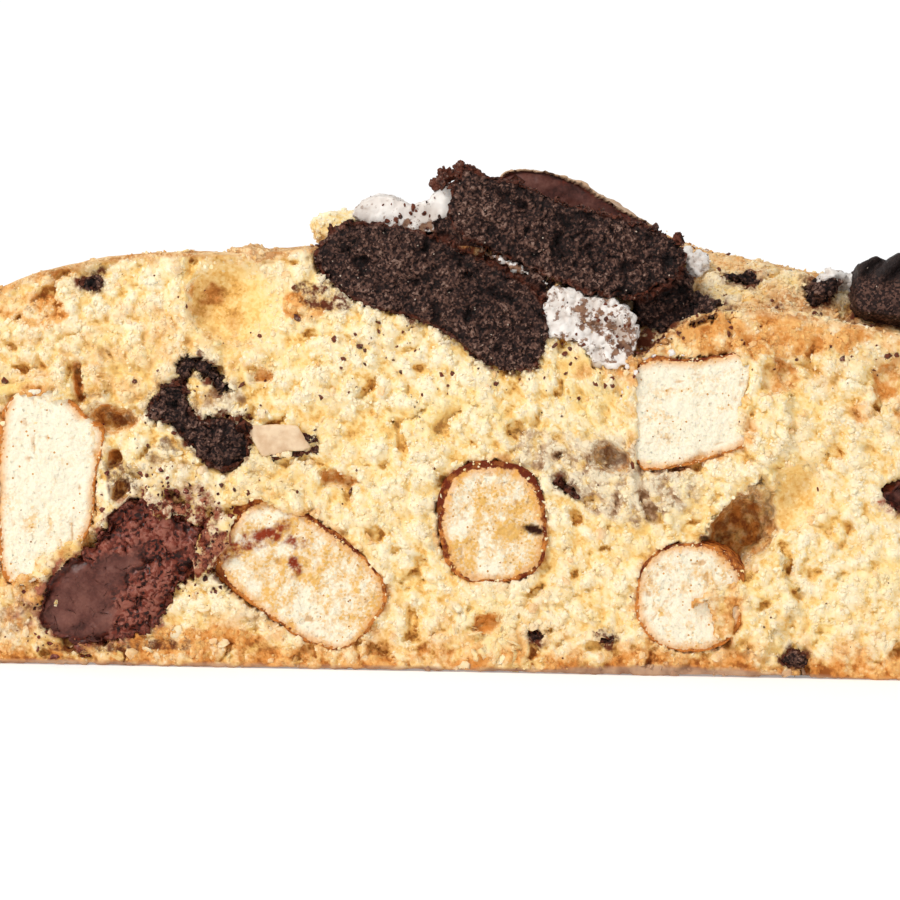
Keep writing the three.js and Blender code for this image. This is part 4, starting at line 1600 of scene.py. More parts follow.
@dataclass
class Scatter:
    """Loose crumbs of one kind, joined in one piece.

    Attributes:
        name: The piece's name.
        stock: What they are made of.
        count: How many there are.
        sizes: Smallest and largest size.
        share: Weight of each face of the host.
        marks: Marks set on every crumb; the others come from the host.
        flat: Thickness as a share of width.
        lift: How far a crumb's middle stands off the surface, as a share of its size.
        coarse: Whether each is a knobbly lump and not a small splinter.
        brighter: Added to the host's cavity, as a crumb stands in the light.
        seed: Picks the draw.
    """

    name: str
    stock: Stock
    count: int
    sizes: tuple[float, float]
    share: Callable[[Surface], np.ndarray]
    marks: Mapping[str, float] = field(default_factory=dict)
    flat: float = 0.7
    lift: float = -0.05
    coarse: bool = False
    brighter: float = 0.13
    seed: int = 1

    def forms(self, kinds: int = 9) -> tuple[np.ndarray, np.ndarray]:
        """A few crumbs of unit size, as points by kind and the faces they share."""
        points = []
        for kind in range(kinds):
            mesh = bmesh.new()
            bmesh.ops.create_icosphere(mesh, subdivisions=1, radius=1.0)
            if self.coarse:
                mesh.free()
                mesh = box_grid((2, 2, 2))
            for vert in mesh.verts:
                out = vert.co.normalized()
                vert.co = out * (0.5 + 0.45 * wave(out, 0.6, kind + self.seed))
            mesh.verts.index_update()
            points.append([tuple(vert.co) for vert in mesh.verts])
            faces = [[vert.index for vert in face.verts] for face in mesh.faces]
            mesh.free()
        return np.array(points), np.array(faces)

    def build(self, host: Surface, materials: Materials) -> Piece:
        """Strews the crumbs.

        Args:
            host: The faces they lie on.
            materials: Each stock's material.

        Returns:
            The new object.
        """
        draw = np.random.default_rng(self.seed)
        weights = host.areas * np.maximum(self.share(host), 0.0)
        chosen = draw.choice(len(weights), size=self.count, p=weights / weights.sum())
        points, faces = self.forms()
        size = self.sizes[0] + (self.sizes[1] - self.sizes[0]) * draw.random(self.count) ** 2.2
        stretch = draw.uniform(0.6, 1.5, (self.count, 3)) * size[:, None]
        local = points[draw.integers(len(points), size=self.count)] * stretch[:, None, :]
        local[:, :, 2] *= self.flat
        normals = host.normals[chosen]
        turned = np.einsum("nij,nkj->nki", self.turns(draw, normals), local)
        aside = np.cross(normals, draw.normal(size=normals.shape)) * np.sqrt(host.areas[chosen])[:, None]
        middle = host.centres[chosen] + normals * (size * self.lift)[:, None] + 0.4 * aside
        corners = (turned + middle[:, None, :]).reshape(-1, 3) * MM
        corners[:, 2] = np.maximum(corners[:, 2], 0.0)
        stride = points.shape[1]
        index = (faces[None] + stride * np.arange(self.count)[:, None, None]).reshape(-1, faces.shape[1])
        data = bpy.data.meshes.new(self.name)
        data.from_pydata(corners.tolist(), [], index.tolist())
        tone = self.brighter + draw.uniform(-0.13, 0.13, self.count)
        for name in {**host.marks, **self.marks}:
            values = np.full(self.count, self.marks[name]) if name in self.marks else host.marks[name][chosen]
            if name == "cavity":
                values = np.clip(values + tone, 0.0, 1.0)
            layer = data.attributes.new(name, "FLOAT", "POINT")
            layer.data.foreach_set("value", np.repeat(values, stride).astype(np.float32))
        if self.coarse:
            data.shade_smooth()
        data.materials.append(materials[self.stock])
        piece = add_object(self.name, data)
        dress(piece, self.stock)
        return piece

    @staticmethod
    def turns(draw: np.random.Generator, normals: np.ndarray) -> np.ndarray:
        """A rotation for each crumb that lays its flat side on the surface, at a random turn about it."""
        helper = draw.normal(size=normals.shape)
        lean = normals + 0.35 * draw.normal(size=normals.shape)
        up = lean / np.linalg.norm(lean, axis=1, keepdims=True)
        side = np.cross(up, helper)
        side /= np.linalg.norm(side, axis=1, keepdims=True)
        return np.stack([side, np.cross(up, side), up], axis=2)


# ---- The studio ----


@dataclass(frozen=True)
class Studio:
    """White floor, soft daylight from the upper left and a long lens low in front.

    The window is in metres and watts, what the camera and floor have is in millimetres and degrees.
    """

    view_width: float = 45.0
    lens: float = 150.0
    sensor: float = 36.0
    elevation: float = 2.5
    roll: float = 1.09
    aim_x: float = -0.21
    aim_z: float = 11.12
    sky: float = 0.55
    sky_seen: float = 1.05
    window: float = 1.08
    window_size: float = 0.12
    window_place: Triple = (-0.2, -0.26, 0.3)
    window_aim: Triple = (0.0, 0.0, 0.012)
    window_colour: Triple = (1.0, 0.985, 0.96)
    floor_grey: float = 0.92
    floor_glow: float = 0.25
    floor_gap: float = 0.02
    floor_half: float = 2000.0

    def build(self, front: float) -> None:
        """Sets up floor, lights and camera for a slice whose front face is at front."""
        self.floor()
        self.daylight()
        self.lamp()
        self.camera(front)

    def floor(self) -> None:
        """A wide white floor just under the slice."""
        mesh = bmesh.new()
        bmesh.ops.create_grid(mesh, x_segments=1, y_segments=1, size=self.floor_half)
        bmesh.ops.translate(mesh, vec=(0, 0, -self.floor_gap), verts=mesh.verts)
        material, shader = new_material("floor")
        values = {
            "Base Color": (self.floor_grey, self.floor_grey, self.floor_grey, 1),
            "Roughness": 0.9,
            "Emission Color": (1, 1, 1, 1),
            "Emission Strength": self.floor_glow,
        }
        Wiring(material.node_tree).fill(shader, values)
        floor = finish_mesh(mesh, "floor", material)

    def daylight(self) -> None:
        """An even sky, which the lens sees as plain white."""
        world = bpy.data.worlds.new("sky")
        world.use_nodes = True
        wiring = Wiring(world.node_tree)
        seen = wiring.node("ShaderNodeLightPath").outputs["Is Camera Ray"]
        strength = wiring.span(seen, 0.0, 1.0, self.sky, self.sky_seen)
        wiring.fill(world.node_tree.nodes["Background"], {"Color": (1, 1, 1, 1), "Strength": strength})
        bpy.context.scene.world = world

    def lamp(self) -> None:
        """One large soft lamp, as from a window."""
        lamp = bpy.data.lights.new("window", "AREA")
        lamp.shape = "DISK"
        lamp.size = self.window_size
        lamp.energy = self.window
        lamp.color = self.window_colour
        holder = add_object("window", lamp)
        holder.location = self.window_place
        aim = Vector(self.window_aim) - holder.location
        holder.rotation_euler = aim.to_track_quat("-Z", "Y").to_euler()

    def camera(self, front: float) -> None:
        """The camera, aimed at the front face and rolled a little."""
        data = bpy.data.cameras.new("camera")
        data.lens = self.lens
        data.sensor_width = self.sensor
        data.clip_start = 0.01
        away = self.lens / self.sensor * self.view_width * MM
        rise = math.radians(self.elevation)
        target = Vector((self.aim_x, front, self.aim_z)) * MM
        camera = add_object("camera", data)
        camera.location = target + away * Vector((0.0, -math.cos(rise), math.sin(rise)))
        facing = (target - camera.location).to_track_quat("-Z", "Y").to_matrix().to_4x4()
        camera.rotation_euler = (facing @ Matrix.Rotation(math.radians(self.roll), 4, "Z")).to_euler()
        scene = bpy.context.scene
        scene.camera = camera
        scene.view_settings.view_transform = "Standard"


# ---- This slice ----

STRAND = 5.4  # thickness of a pretzel strand
FINE_REACH = 23.5  # half length of the part that has the finest crumbs


def inclusions(front: float, back: float) -> list[Inclusion]:
    """Every piece set in the dough, in the places the frame gives them.

    Args:
        front: The front cut's place on Y.
        back: The back cut's place on Y.

    Returns:
        The pieces, not yet built.
    """
    at_front = [make(front) for make in (biscuit, front_pretzels, front_sweets, bits, ends)]
    return [piece for group in (*at_front, behind(back)) for piece in group]


def biscuit(front: float) -> list[Inclusion]:
    """The broken sandwich biscuit on the crown, its cream, the melted chocolate behind it and its rim."""
    proud = front - PROUD
    upper = [
        (-6.5, 1.0), (-5.4, 4.4), (-4.2, 3.8), (-2.4, 3.6), (0.0, 2.4), (4.2, 1.5), (6.2, 0.4), (6.2, -1.0),
        (3.2, -2.9), (0.0, -1.7), (-3.3, -0.5),
    ]
    upper_end = [(3.0, -0.6), (6.0, 0.2), (6.5, -2.9), (5.0, -4.3), (3.4, -3.0)]
    lower = [
        (-6.2, 1.7), (-4.9, 3.4), (-3.0, 3.7), (0.4, 3.1), (5.2, 0.7), (6.3, -1.2), (5.9, -3.4), (4.4, -4.1),
        (2.4, -3.5), (0.6, -1.7), (-2.2, -1.1), (-4.6, -0.2),
    ]
    seam = [(0.0, 3.9), (2.0, 3.4), (6.8, 0.4), (7.4, -1.0), (6.4, -1.4), (4.8, 0.6), (0.2, 2.8)]
    squeezed = [(-2.7, -0.5), (-2.3, 0.5), (-0.9, 1.1), (0.9, 0.2), (2.6, 1.9), (3.0, -0.6), (0.2, -1.2)]
    broken = [(-2.5, 2.3), (0.0, 2.0), (2.6, 0.4), (1.8, -1.8), (0.4, -2.0), (-0.6, -0.6), (-2.4, -0.6)]
    between = [(-5.9, 4.05), (-2.3, 2.4), (-2.3, 2.15), (-5.9, 3.8)]
    melted = [(-4.4, 1.1), (-2.4, 1.8), (-0.5, 1.2), (2.2, -0.1), (4.6, -1.4), (2.6, -2.0), (-3.8, -0.6)]
    smudges = spots(
        (7.2, 17.6, 3.6, 1.6, -18), (8.5, 16.8, 1.6, 2.2, 10), (5.7, 16.3, 1.0, 1.3, 30),
        (2.7, 20.4, 4.6, 1.6, -27)
    )
    return [
        Wafer(
            "wafer_upper", Slab(rounded(upper), 9.0, taper=0.92), Place(5.4, proud, 21.2),
            [(Slab(rounded(upper_end), 6.6), Place(5.4, front + 1.3, 21.2))], voxel=0.1,
        ),
        Wafer(
            "wafer_lower", Slab(rounded(lower), 8.6, taper=0.92), Place(-1.4, proud, 18.9),
            [(Slab(rounded(seam, 1), 5.0), Place(-1.4, front + 0.5, 18.9))], voxel=0.1,
        ),
        Cream(
            "cream_left", Slab(rounded(squeezed, 1), 6.0, taper=0.8), Place(-2.8, front + 0.7, 22.9),
            voxel=0.1, sway=0.08, ragged=0.08, flaky=0.3, stains=spots((-2.2, 22.25, 3.8, 0.9, -8)),
        ),
        Cream(
            "cream_right", Slab(rounded(broken), 6.6, taper=0.8), Place(6.8, proud, 17.3),
            [(Slab(rounded(between, 1), 6.0), Place(6.8, front + 0.4, 17.3))],
            voxel=0.1, flaky=0.8, smudge=0.2, stains=smudges,
        ),
        Wafer(
            "wafer_rim", Rim(), Place(22.9, front + 2.9, 19.3, tilt=-8, pitch=-14),
            voxel=0.09, sway=0.06, ragged=0.05, moulded=True,
        ),
        Wafer(
            "bit_beside_rim", Lump((1.8, 2.0, 1.1), 2.4, 0.6, 0.9, 6), 
            Place(18.5, front + 2.7, 19.3, tilt=30), voxel=0.09,
        ),
        Chocolate(
            "melted_chocolate", Slab(rounded(melted), 5.0, taper=0.75), Place(6.0, front + 5.6, 23.8),
            voxel=0.12, ragged=0.1, crumble_from=9.0, filmed=True,
        ),
    ]


def front_pretzels(front: float) -> list[Inclusion]:
    """Pretzel strands in the front face, cut across or lengthwise."""
    proud = front - PROUD
    upright = [
        (-2.2, 5.0), (0.7, 4.9), (1.7, 3.4), (2.9, 3.1), (2.2, 0.2), (2.2, -2.2), (0.3, -4.0), (-1.8, -5.2),
        (-2.6, -3.4), (-2.6, 1.8),
    ]
    level = [
        (-3.3, 2.9), (0.0, 2.5), (3.0, 3.4), (2.7, 1.7), (2.1, -0.2), (3.0, -1.7), (0.4, -2.5), (-2.6, -3.3),
        (-3.1, -2.2),
    ]
    return [
        Pretzel(
            "pretzel_left", Slab(rounded(upright), 4.2), Place(-20.2, proud, 8.8),
            voxel=0.12, grain_way=96, rind=(0.04, 0.12), warmth=0.1, baked=-0.2,
        ),
        Pretzel(
            "pretzel_low_left", Slab(oval(8.8, 5.4, 3.2, -34), 6.4, drift=(-1.0, 0.68)), 
            Place(-7.5, proud, 4.7), voxel=0.12, rind=(0.1, 0.3),
            stains=spots((-10.0, 6.35, 4.0, 0.95, 24), (-7.75, 6.35, 1.2, 0.6), (-7.9, 5.1, 0.5, 1.5)),
        ),
        Pretzel(
            "pretzel_middle", Slab(oval(STRAND, 6.1, 2.7, 4), 18.2, drift=(-0.08, 0.02)), 
            Place(2.0, proud, 7.5), voxel=0.12, rind=(0.12, 0.42), warmth=0.56, baked=0.75,
            holes=spots((4.1, 7.2, 0.45, 1.1, 70)),
        ),
        Pretzel(
            "pretzel_low_right", Slab(oval(STRAND, 5.5, 2.4), 8.0, drift=(0.25, 0.0)), 
            Place(11.9, proud, 3.95), voxel=0.12, rind=(0.08, 0.24), warmth=0.3, baked=0.25,
        ),
        Pretzel(
            "pretzel_high_right", Slab(rounded(level), 4.4), Place(12.0, proud, 13.3),
            voxel=0.12, grain_way=4, rind=(0.08, 0.24), warmth=0.1, baked=0.4,
        ),
    ]


def front_sweets(front: float) -> list[Inclusion]:
    """Chocolate, a twisted fragment of wafer and a pale chip in the front face."""
    proud = front - PROUD
    chunk = [
        (-4.5, -1.7), (-3.0, 0.6), (-1.4, 1.5), (0.0, 3.9), (1.4, 4.1), (4.5, 2.2), (4.5, 0.8), (2.8, -0.4),
        (2.0, -2.5), (-1.3, -3.6), (-3.8, -3.0),
    ]
    twist = [
        (-2.9, 0.9), (-1.9, 2.4), (-0.7, 2.2), (-0.1, 0.2), (0.8, 0.7), (2.2, 0.2), (2.9, -1.6), (1.6, -2.5),
        (0.0, -1.9), (-1.4, -0.2), (-2.7, 0.1),
    ]
    hook = [
        (-1.3, 1.6), (-1.1, 3.4), (0.2, 3.3), (1.6, 2.0), (1.2, 1.8), (0.0, 2.8), (-0.6, 2.8), (-0.7, 1.6),
    ]
    chip = [(-1.7, 0.8), (1.0, 0.8), (1.7, -0.3), (-0.9, -0.9)]
    return [
        Chocolate(
            "chocolate_chunk", Slab(rounded(chunk), 5.4, taper=0.75), Place(-16.6, proud, 4.4),
            voxel=0.1, crumble_from=0.5, crumble_over=1.25,
        ),
        Wafer(
            "wafer_fragment", Slab(rounded(twist), 4.0, taper=0.8), Place(-12.7, proud, 12.1),
            [(Slab(rounded(hook, 1), 1.6), Place(-12.7, front + 0.15, 12.1))], voxel=0.09, sway=0.22,
        ),
        Chip("pale_chip", Slab(chip, 2.6, taper=0.8), Place(-8.8, proud, 11.4), sway=0.04, voxel=0.08),
    ]


def bits(front: float) -> list[Inclusion]:
    """Crumbs of wafer and chocolate large enough to have a node of their own."""
    lumps = (
        ("bit_valley", (1.7, 1.9, 1.3), 20, Place(12.4, front + 1.5, 18.3, tilt=20)),
        ("bit_crest", (1.9, 1.6, 0.6), 21, Place(14.5, front + 3.1, 20.0, tilt=-12)),
    )
    slivers = (
        ("bit_high_left", splinter(1.7, 1.1, 3), Place(-18.2, front - 0.1, 19.0, tilt=8)),
        ("bit_middle", splinter(2.3, 0.9, 8), Place(5.7, front - 0.05, 9.2, tilt=-34)),
        ("bit_low_left", splinter(1.3, 1.0, 5), Place(4.3, front - 0.1, 1.9)),
        ("bit_low_right", splinter(1.2, 0.9, 12), Place(7.9, front - 0.1, 1.8)),
        ("bit_base", splinter(2.0, 1.2, 7), Place(17.3, front - 0.1, 0.95, tilt=6)),
    )
    right = Slab(splinter(2.2, 2.2, 4), 1.8)
    return [
        *(
            Wafer(name, Lump(size, 2.2, 0.6, 0.8, seed), place, voxel=0.09)
            for name, size, seed, place in lumps
        ),
        *(
            Wafer(name, Slab(ring, 1.5, taper=0.7), place, voxel=0.08, sway=0.08, ragged=0.1)
            for name, ring, place in slivers
        ),
        Chocolate("bit_right", right, Place(22.8, front - 0.1, 9.3, tilt=20), voxel=0.09),
    ]


def ends(front: float) -> list[Inclusion]:
    """Pieces in the front face and crust towards both ends."""
    return [
        Pretzel(
            "pretzel_far_left", Strand(5.2, 22.0), Place(-31.6, front, 6.0, turn=-22, pitch=6),
            rind=(0.18, 0.36),
        ),
        Pretzel(
            "pretzel_far_right", Slab(oval(7.8, 5.4, 5, 38), 4.2), Place(33.2, front - PROUD, 6.6),
            grain_way=38, rind=(0.1, 0.24), warmth=0.2,
        ),
        Chocolate(
            "chocolate_far_right", Lump((6.4, 6.5, 4.3), 3, 0.45, seed=26),
            Place(27.6, front + 1.5, 11.6, tilt=-18)
        ),
        Chocolate(
            "chocolate_far_left", Lump((4.2, 5.0, 3.4), 3, 0.4, seed=27),
            Place(-38.2, front + 1.4, 9.1, tilt=30)
        ),
        Wafer(
            "wafer_far_left", Lump((8.4, 7.2, 3.8), 5, 0.5, seed=28),
            Place(-30.2, front + 3.3, 16.4, tilt=19),
        ),
        Wafer(
            "wafer_far_right", Lump((4.6, 4.6, 2.4), 2.8, 0.5, 1.9, 29),
            Place(38.2, front + 1.5, 3.9, tilt=28)
        ),
    ]


def behind(back: float) -> list[Inclusion]:
    """Pieces in the back face and in the crust behind the crown."""
    return [
        Pretzel(
            "pretzel_back_left", Slab(oval(8.8, 5.2, 5, 24), 4.4), Place(-14.6, back + PROUD, 12.4, turn=180),
            grain_way=24, rind=(0.1, 0.24), warmth=0.2,
        ),
        Pretzel(
            "pretzel_back_right", Strand(STRAND, 9.0), Place(25.6, back, 5.6, turn=12, pitch=8),
            rind=(0.18, 0.36),
        ),
        Chocolate(
            "chocolate_back", Lump((7.4, 6.6, 4.6), 3, 0.45, seed=32),
            Place(12.2, back - 1.7, 14.4, tilt=-16),
        ),
        Chocolate(
            "chocolate_back_left", Lump((5.2, 5.0, 3.6), 3, 0.4, seed=33),
            Place(-22.4, back - 1.4, 5.0, tilt=20),
        ),
        Wafer("wafer_back", Lump((7.2, 6.0, 3.2), 3.4, 0.5, 2.1, 34), Place(-5.2, back - 1.6, 15.2, tilt=14)),
        Wafer(
            "wafer_crust", Lump((6.2, 5.2, 3.2), 4, 0.45, seed=35),
            Place(-34.2, back - 5.0, 16.2, tilt=26, turn=30)
        ),
        Pretzel(
            "pretzel_crust", Strand(5.0, 7.4), Place(27.6, back - 5.6, 17.0, turn=-62, pitch=-14),
            rind=(0.25, 0.4)
        ),
    ]


def small_toppings(front: float) -> list[Inclusion]:
    """Clots of dough, crumbs of wafer and dabs of cream that have no node of their own."""
    shadow, tip = Slab(splinter(3.0, 0.5, 2), 1.0), Slab(splinter(1.4, 0.9, 6), 1.0)
    curl = Lump((1.0, 1.2, 0.8), 2.2, 0.3, 0.5, 49), Place(0.2, front + 0.7, 25.0, tilt=20)
    toppings = [
        DoughLump(
            "crust_clot", Lump((2.6, 2.4, 1.7), 2.4, 0.35, 1.2, 41),
            Place(-6.2, front + 2.4, 22.1, tilt=14), voxel=0.1
        ),
        Wafer("chip_shadow", shadow, Place(-8.3, front - 0.2, 10.75, tilt=12), voxel=0.08, ragged=0.06),
        Wafer("chip_tip", tip, Place(-7.4, front - 0.2, 11.6, tilt=-10), voxel=0.08, ragged=0.1),
        DoughLump(
            "hollow_clot", Lump((2.3, 1.5, 1.4), 2.4, 0.3, 1.0, 44), Place(16.9, front + 0.45, 6.5, tilt=16),
            voxel=0.1, toast=0.0,
        ),
        DoughLump(
            "crust_peak", Lump((3.4, 2.2, 0.8), 2.0, 0.12, 0.9, 46), Place(-9.9, front + 0.9, 20.72, tilt=-4),
            voxel=0.1, crust=0.9,
        ),
        DoughLump(
            "chunk_clot", Lump((0.64, 0.6, 0.6), 2.2, 0.2, 0.6, 47), Place(-19.65, front - 0.12, 3.05),
            voxel=0.08, toast=0.0,
        ),
        Wafer(
            "tip_curl", Lump((0.8, 1.2, 1.1), 2.2, 0.3, 0.5, 48),
            Place(-0.72, front + 0.7, 24.5, tilt=-24), [curl],
            voxel=0.07, ragged=0.12, crisp=0.6,
        ),
        Cream(
            "cream_smear", Lump((1.7, 1.4, 1.0), 2.2, 0.6, 0.9, 42), Place(12.1, front + 4.0, 20.6, tilt=-30),
            voxel=0.09, flaky=0.9,
        ),
        Cream(
            "cream_by_rim", Lump((1.6, 1.4, 1.2), 2.2, 0.6, 0.9, 43), Place(19.3, front + 3.2, 19.7, tilt=30),
            voxel=0.09, flaky=0.9,
        ),
    ]
    for topping in toppings:
        topping.standing = False
    return toppings


def pockets() -> list[Pocket]:
    """Air hollows in both cut faces."""
    return [
        Pocket(Spot(14.5, 7.1, 6.4, 3.2, 52), 3.2, sleek=0.8, brown=0.75, lean=0.45, ragged=0.7),
        Pocket(Spot(17.0, 8.9, 4.4, 2.8, 60), 1.2, sleek=0.9, brown=0.0, ragged=0.3),
        Pocket(Spot(-10.7, 18.2, 5.6, 4.4, -12), 1.1, sleek=0.97, brown=0.0, lean=0.8, ragged=0.2),
        Pocket(Spot(-17.2, 12.35, 3.1, 1.5, -6), 1.5, sleek=0.5, brown=1.0, ragged=0.8),
        Pocket(Spot(-5.8, 9.5, 2.4, 0.9, -14), 1.0, sleek=0.4, brown=0.8),
        Pocket(Spot(16.2, 15.0, 2.0, 1.9), 0.7, brown=0.6),
        Pocket(Spot(21.7, 15.0, 1.8, 2.3), 0.8, brown=0.8),
        Pocket(Spot(-18.9, 14.2, 0.6, 2.2, 6), 1.4, sleek=0.3, brown=1.0),
        Pocket(Spot(7.9, 10.8, 2.2, 1.5, -30), 1.3, sleek=0.4, brown=1.0),
        Pocket(Spot(6.1, 15.3, 2.3, 1.4), 0.12, sleek=0.8, brown=0.5, ragged=0.8),
        Pocket(Spot(1.9, 2.5, 1.7, 1.2, 20), 0.6, brown=0.9),
        Pocket(Spot(-17.0, 10.4, 0.8, 0.9), 1.0, sleek=0.3, brown=1.0),
        Pocket(Spot(-16.7, 8.8, 1.0, 1.4, -20), 1.1, sleek=0.3, brown=1.0),
        Pocket(Spot(-18.2, 6.2, 1.1, 0.8, 40), 0.9, sleek=0.3, brown=1.0),
        Pocket(Spot(-9.6, 14.6, 1.2, 0.7, 10), 0.7, sleek=0.4, brown=0.9),
        Pocket(Spot(-26.2, 11.6, 4.4, 2.4, 30), 1.6),
        Pocket(Spot(37.2, 9.0, 3.4, 3.0, -20), 1.8),
        Pocket(Spot(3.6, 9.0, 4.6, 3.2, 24), 1.8, side=BACK),
        Pocket(Spot(-33.0, 10.4, 3.2, 2.2, -30), 1.5, side=BACK),
        Pocket(Spot(34.4, 8.2, 3.0, 4.0, 12), 1.4, side=BACK),
    ]


def smears() -> list[Smear]:
    """Stains on both cut faces, in rows of a spot's numbers and its strength."""
    rows = {
        ("greyed", FRONT): (
            (8.4, 9.8, 8.4, 4.2, -14, 0.95), (5.0, 11.0, 4.6, 2.4, -14, 0.8),
            (-14.3, 9.2, 5.0, 2.8, -10, 0.45),
            (-9.4, 2.8, 2.6, 2.4, -30, 0.45), (-11.6, 13.2, 2.2, 2.8, -20, 0.6),
            (6.9, 17.5, 3.4, 2.8, 0, 1.0),
            (-22.0, 2.0, 2.4, 2.0, 0, 0.5),
        ),
        ("cocoa", FRONT): (
            (-16.4, 0.95, 9.0, 0.7, 3, 0.6), (-16.6, 9.2, 1.6, 2.6, 20, 0.6),
            (-6.8, 18.6, 3.2, 1.4, -18, 0.75),
            (-12.6, 15.2, 2.6, 1.0, -30, 0.6), (2.0, 20.5, 6.6, 2.4, -27, 1.0),
            (-14.6, 10.8, 2.0, 1.4, 20, 0.5),
        ),
        ("chocolate", FRONT): (
            (-14.0, 6.9, 5.4, 3.8, 30, 0.9), (-11.5, 5.7, 3.6, 2.4, 10, 1.0), (-21.2, 2.6, 2.6, 1.6, 0, 0.5),
        ),
        ("toast", FRONT): (
            (-15.8, 1.1, 14.0, 1.8, 3, 1.0), (-21.0, 17.7, 3.8, 1.9, 0, 1.0), (-7.6, 18.2, 2.4, 1.8, 0, 0.9),
            (15.5, 17.1, 12.0, 2.4, 0, 1.0), (-16.0, 15.4, 15.0, 6.4, 4, 0.34),
            (19.6, 10.0, 8.0, 12.0, 0, 0.16),
            (-21.6, 3.0, 3.0, 3.6, 0, 0.8), (22.0, 13.6, 5.0, 3.0, 0, 0.5), (-12.6, 18.8, 2.2, 1.5, -20, 0.6),
        ),
        ("greyed", BACK): ((12.2, 15.0, 5.0, 2.4, 0, 0.3),),
        ("cocoa", BACK): ((-5.0, 14.0, 8.0, 3.0, 0, 0.5),),
    }
    return [Smear(Spot(*spot), *key, strength) for key, group in rows.items() for *spot, strength in group]


def overlaps() -> list[Spot]:
    """Where crumb lies over a strand's cut face."""
    return spots(
        (14.7, 4.2, 4.4, 5.2, 8), (15.4, 13.6, 2.6, 6.0, 6), (-20.0, 13.9, 5.0, 1.3, 4),
        (-11.75, 6.9, 1.3, 5.0, -24),
        (-9.0, 8.8, 4.2, 1.2, -24), (-20.2, 5.0, 4.4, 0.8, 33), (8.8, 13.2, 0.7, 5.4, 2),
        (-14.6, 8.1, 1.2, 1.6, 20),
    )


def by_wafers(host: Surface) -> np.ndarray:
    """How near faces lie to the broken biscuit and its fragments."""
    places = ((-1.8, 17.4, 4.2), (6.0, 18.0, 3.6), (-12.4, 12.1, 2.4), (21.0, 17.5, 3.4), (12.0, 17.5, 3.0))
    return sum(host.near(*place) for place in places) + 0.03


def by_chunk(host: Surface) -> np.ndarray:
    """How near faces of the front lie to the crumbled end of the chocolate chunk."""
    nearness = host.near(-14.2, 6.6, 2.0) + host.near(-11.0, 5.6, 1.2) + host.near(-19.5, 2.0, 1.4) * 0.4
    return nearness * host.facing(FRONT)


def dough_crumbs() -> list[Scatter]:
    """Crumbs of dough that lie on the dough."""
    fine, broad = (0.07, 0.24), (0.12, 0.36)
    return [
        Scatter(
            "crumbs_left", Stock.DOUGH, 8400, fine,
            lambda s: s.clumps(FRONT) * s.between(-FINE_REACH, 0), seed=3,
        ),
        Scatter(
            "crumbs_right", Stock.DOUGH, 8400, fine,
            lambda s: s.clumps(FRONT) * s.between(0, FINE_REACH), seed=4,
        ),
        Scatter(
            "crumbs_ends", Stock.DOUGH, 6000, broad,
            lambda s: s.clumps(FRONT) * ~s.between(-FINE_REACH, FINE_REACH), seed=5,
        ),
        Scatter("crumbs_back", Stock.DOUGH, 9200, broad, lambda s: s.clumps(BACK), seed=6),
        Scatter(
            "clumps_front", Stock.DOUGH, 1100, (0.16, 0.44),
            lambda s: s.clumps(FRONT), coarse=True, lift=-0.04, seed=7
        ),
        Scatter(
            "crumbs_crust", Stock.DOUGH, 2600, (0.1, 0.34),
            lambda s: s.crust() * (0.02 + s.near(15.0, 18.6, 5.0)), {"crust": 0.25}, seed=8,
        ),
        Scatter(
            "crumbs_crest", Stock.DOUGH, 700, (0.1, 0.5),
            lambda s: s.crust() * (s.centres[:, 1] < -7.9), {"crust": 0.3, "toast": 0.4}, seed=16,
        ),
    ]


def other_crumbs() -> list[Scatter]:
    """Specks, crumbs and flakes of what is set in the dough, and flakes of skin by the base."""
    return [
        Scatter(
            "cocoa_specks", Stock.WAFER, 1300, (0.07, 0.36), by_wafers, {"cavity": 0.8, "fringe": 1.0},
            lift=0.1, brighter=0.0, seed=9,
        ),
        Scatter(
            "chocolate_crumbs", Stock.CHOCOLATE, 300, (0.07, 0.3), by_chunk,
            {"cavity": 0.5, "crumbled": 1.0, "fringe": 0.5}, lift=0.1, brighter=0.0, seed=10,
        ),
        Scatter(
            "cream_flakes", Stock.CREAM, 110, (0.12, 0.36),
            lambda s: s.near(8.8, 15.9, 1.3) + 0.4 * s.near(12.6, 21.0, 0.9), {"cavity": 0.9, "smudge": 0.1},
            lift=0.1, seed=11,
        ),
        Scatter(
            "flakes_base", Stock.DOUGH, 44, (0.25, 0.8),
            lambda s: (s.near(2.4, 1.4, 1.9) + 0.2 * s.near(-13.0, 2.0, 3.0)) * s.facing(FRONT),
            {"toast": 0.3}, flat=0.22, coarse=True, seed=12,
        ),
    ]


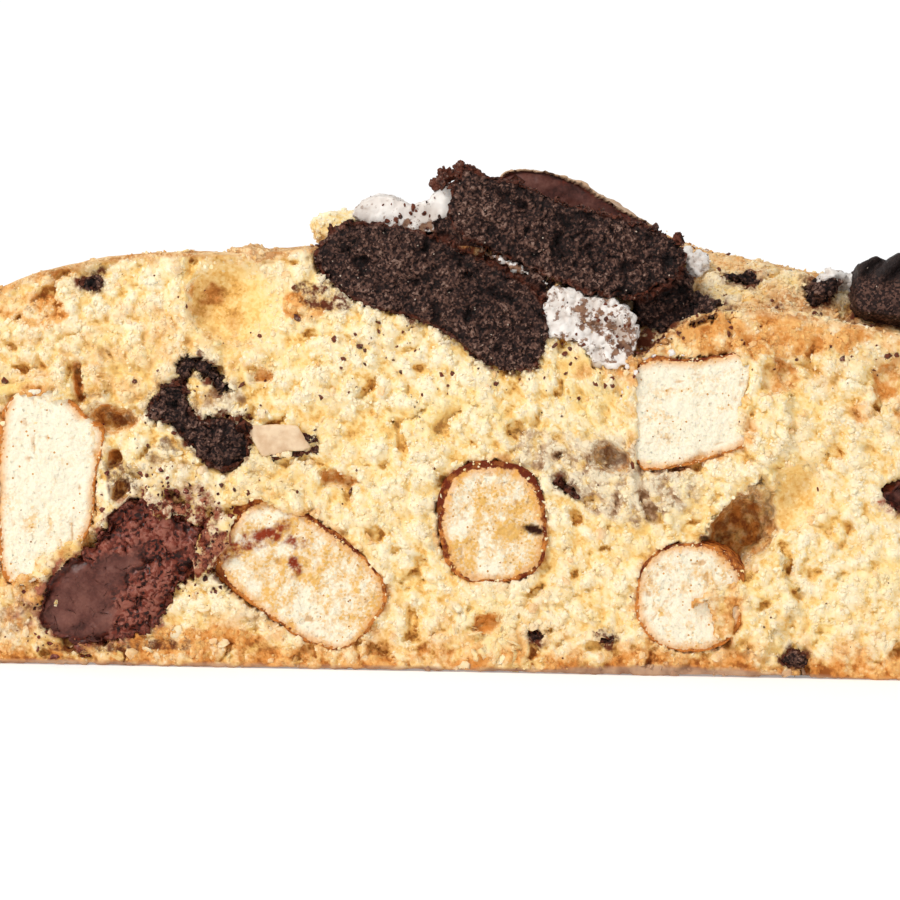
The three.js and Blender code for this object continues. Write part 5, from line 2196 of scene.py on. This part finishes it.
def crumbs_on_pieces() -> dict[type[Inclusion], Scatter]:
    """Crumbs that lie on the wafers, along the strands' edges, on the cream and on the clots of dough."""
    return {
        Wafer: Scatter(
            "wafer_grains", Stock.WAFER, 7600, (0.06, 0.24), lambda s: 1.0 - s.marks["sheen"], seed=13
        ),
        Pretzel: Scatter(
            "verge_crumbs", Stock.DOUGH, 340, (0.05, 0.24),
            lambda s: (s.marks["rind"] + 0.01) * (s.normals[:, 1] < -0.5) * (s.centres[:, 1] < -7.0),
            {"cavity": 0.5}, lift=-0.1, seed=14,
        ),
        Cream: Scatter(
            "cream_crumbs", Stock.WAFER, 240, (0.06, 0.3),
            lambda s: (s.near(-2.6, 22.0, 1.5) + 0.8 * s.near(7.4, 17.4, 1.2)) * (s.normals[:, 1] < 0),
            {"cavity": 0.6, "fringe": 0.9}, brighter=0.0, seed=15,
        ),
        DoughLump: Scatter("clot_crumbs", Stock.DOUGH, 700, (0.07, 0.26), lambda s: s.raised(), seed=17),
    }


def cover_tree(pieces: Iterable[Piece]) -> BVHTree:
    """The surfaces of finished pieces, in millimetres, for rays to hit."""
    corners: list[Vector] = []
    faces: list[tuple[int, ...]] = []
    for piece in pieces:
        start = len(corners)
        corners.extend(vert.co / MM for vert in piece.data.vertices)
        faces.extend(tuple(start + i for i in face.vertices) for face in piece.data.polygons)
    return BVHTree.FromPolygons(corners, faces)


def main() -> None:
    """Builds the slice, its loose crumbs and the studio."""
    logging.basicConfig(level=logging.INFO, format="%(name)s %(message)s")
    noise.seed_set(NOISE_SEED)
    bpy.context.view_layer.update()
    outline = Outline.of_frame()
    materials = make_finishes()
    knife = Knife(outline.front + KNIFE_GAP, outline.back - KNIFE_GAP)
    made: dict[type[Inclusion], list[Piece]] = defaultdict(list)
    for piece in inclusions(outline.front, outline.back):
        made[type(piece)].append(piece.build(knife, materials))
    set_in = [piece for group in made.values() for piece in group]
    halos = {
        "cocoa": (cover_tree(made[Wafer]), 0.8),
        "chocolate": (cover_tree(made[Chocolate]), 0.8),
        "toast": (cover_tree(made[Pretzel]), 0.6),
    }
    dough = Dough(outline, pockets(), smears(), overlaps())
    dough_piece = dough.build(cover_tree(set_in), halos, materials[Stock.DOUGH])
    for topping in small_toppings(outline.front):
        piece = topping.build(knife, materials)
        if isinstance(topping, DoughLump):
            made[DoughLump].append(piece)
    host = Surface.of(dough_piece)
    for crumbs in dough_crumbs() + other_crumbs():
        crumbs.build(host, materials)
    for kind, crumbs in crumbs_on_pieces().items():
        crumbs.build(Surface.of(*made[kind]), materials)
    Studio().build(outline.front)


if __name__ == "__main__":
    main()
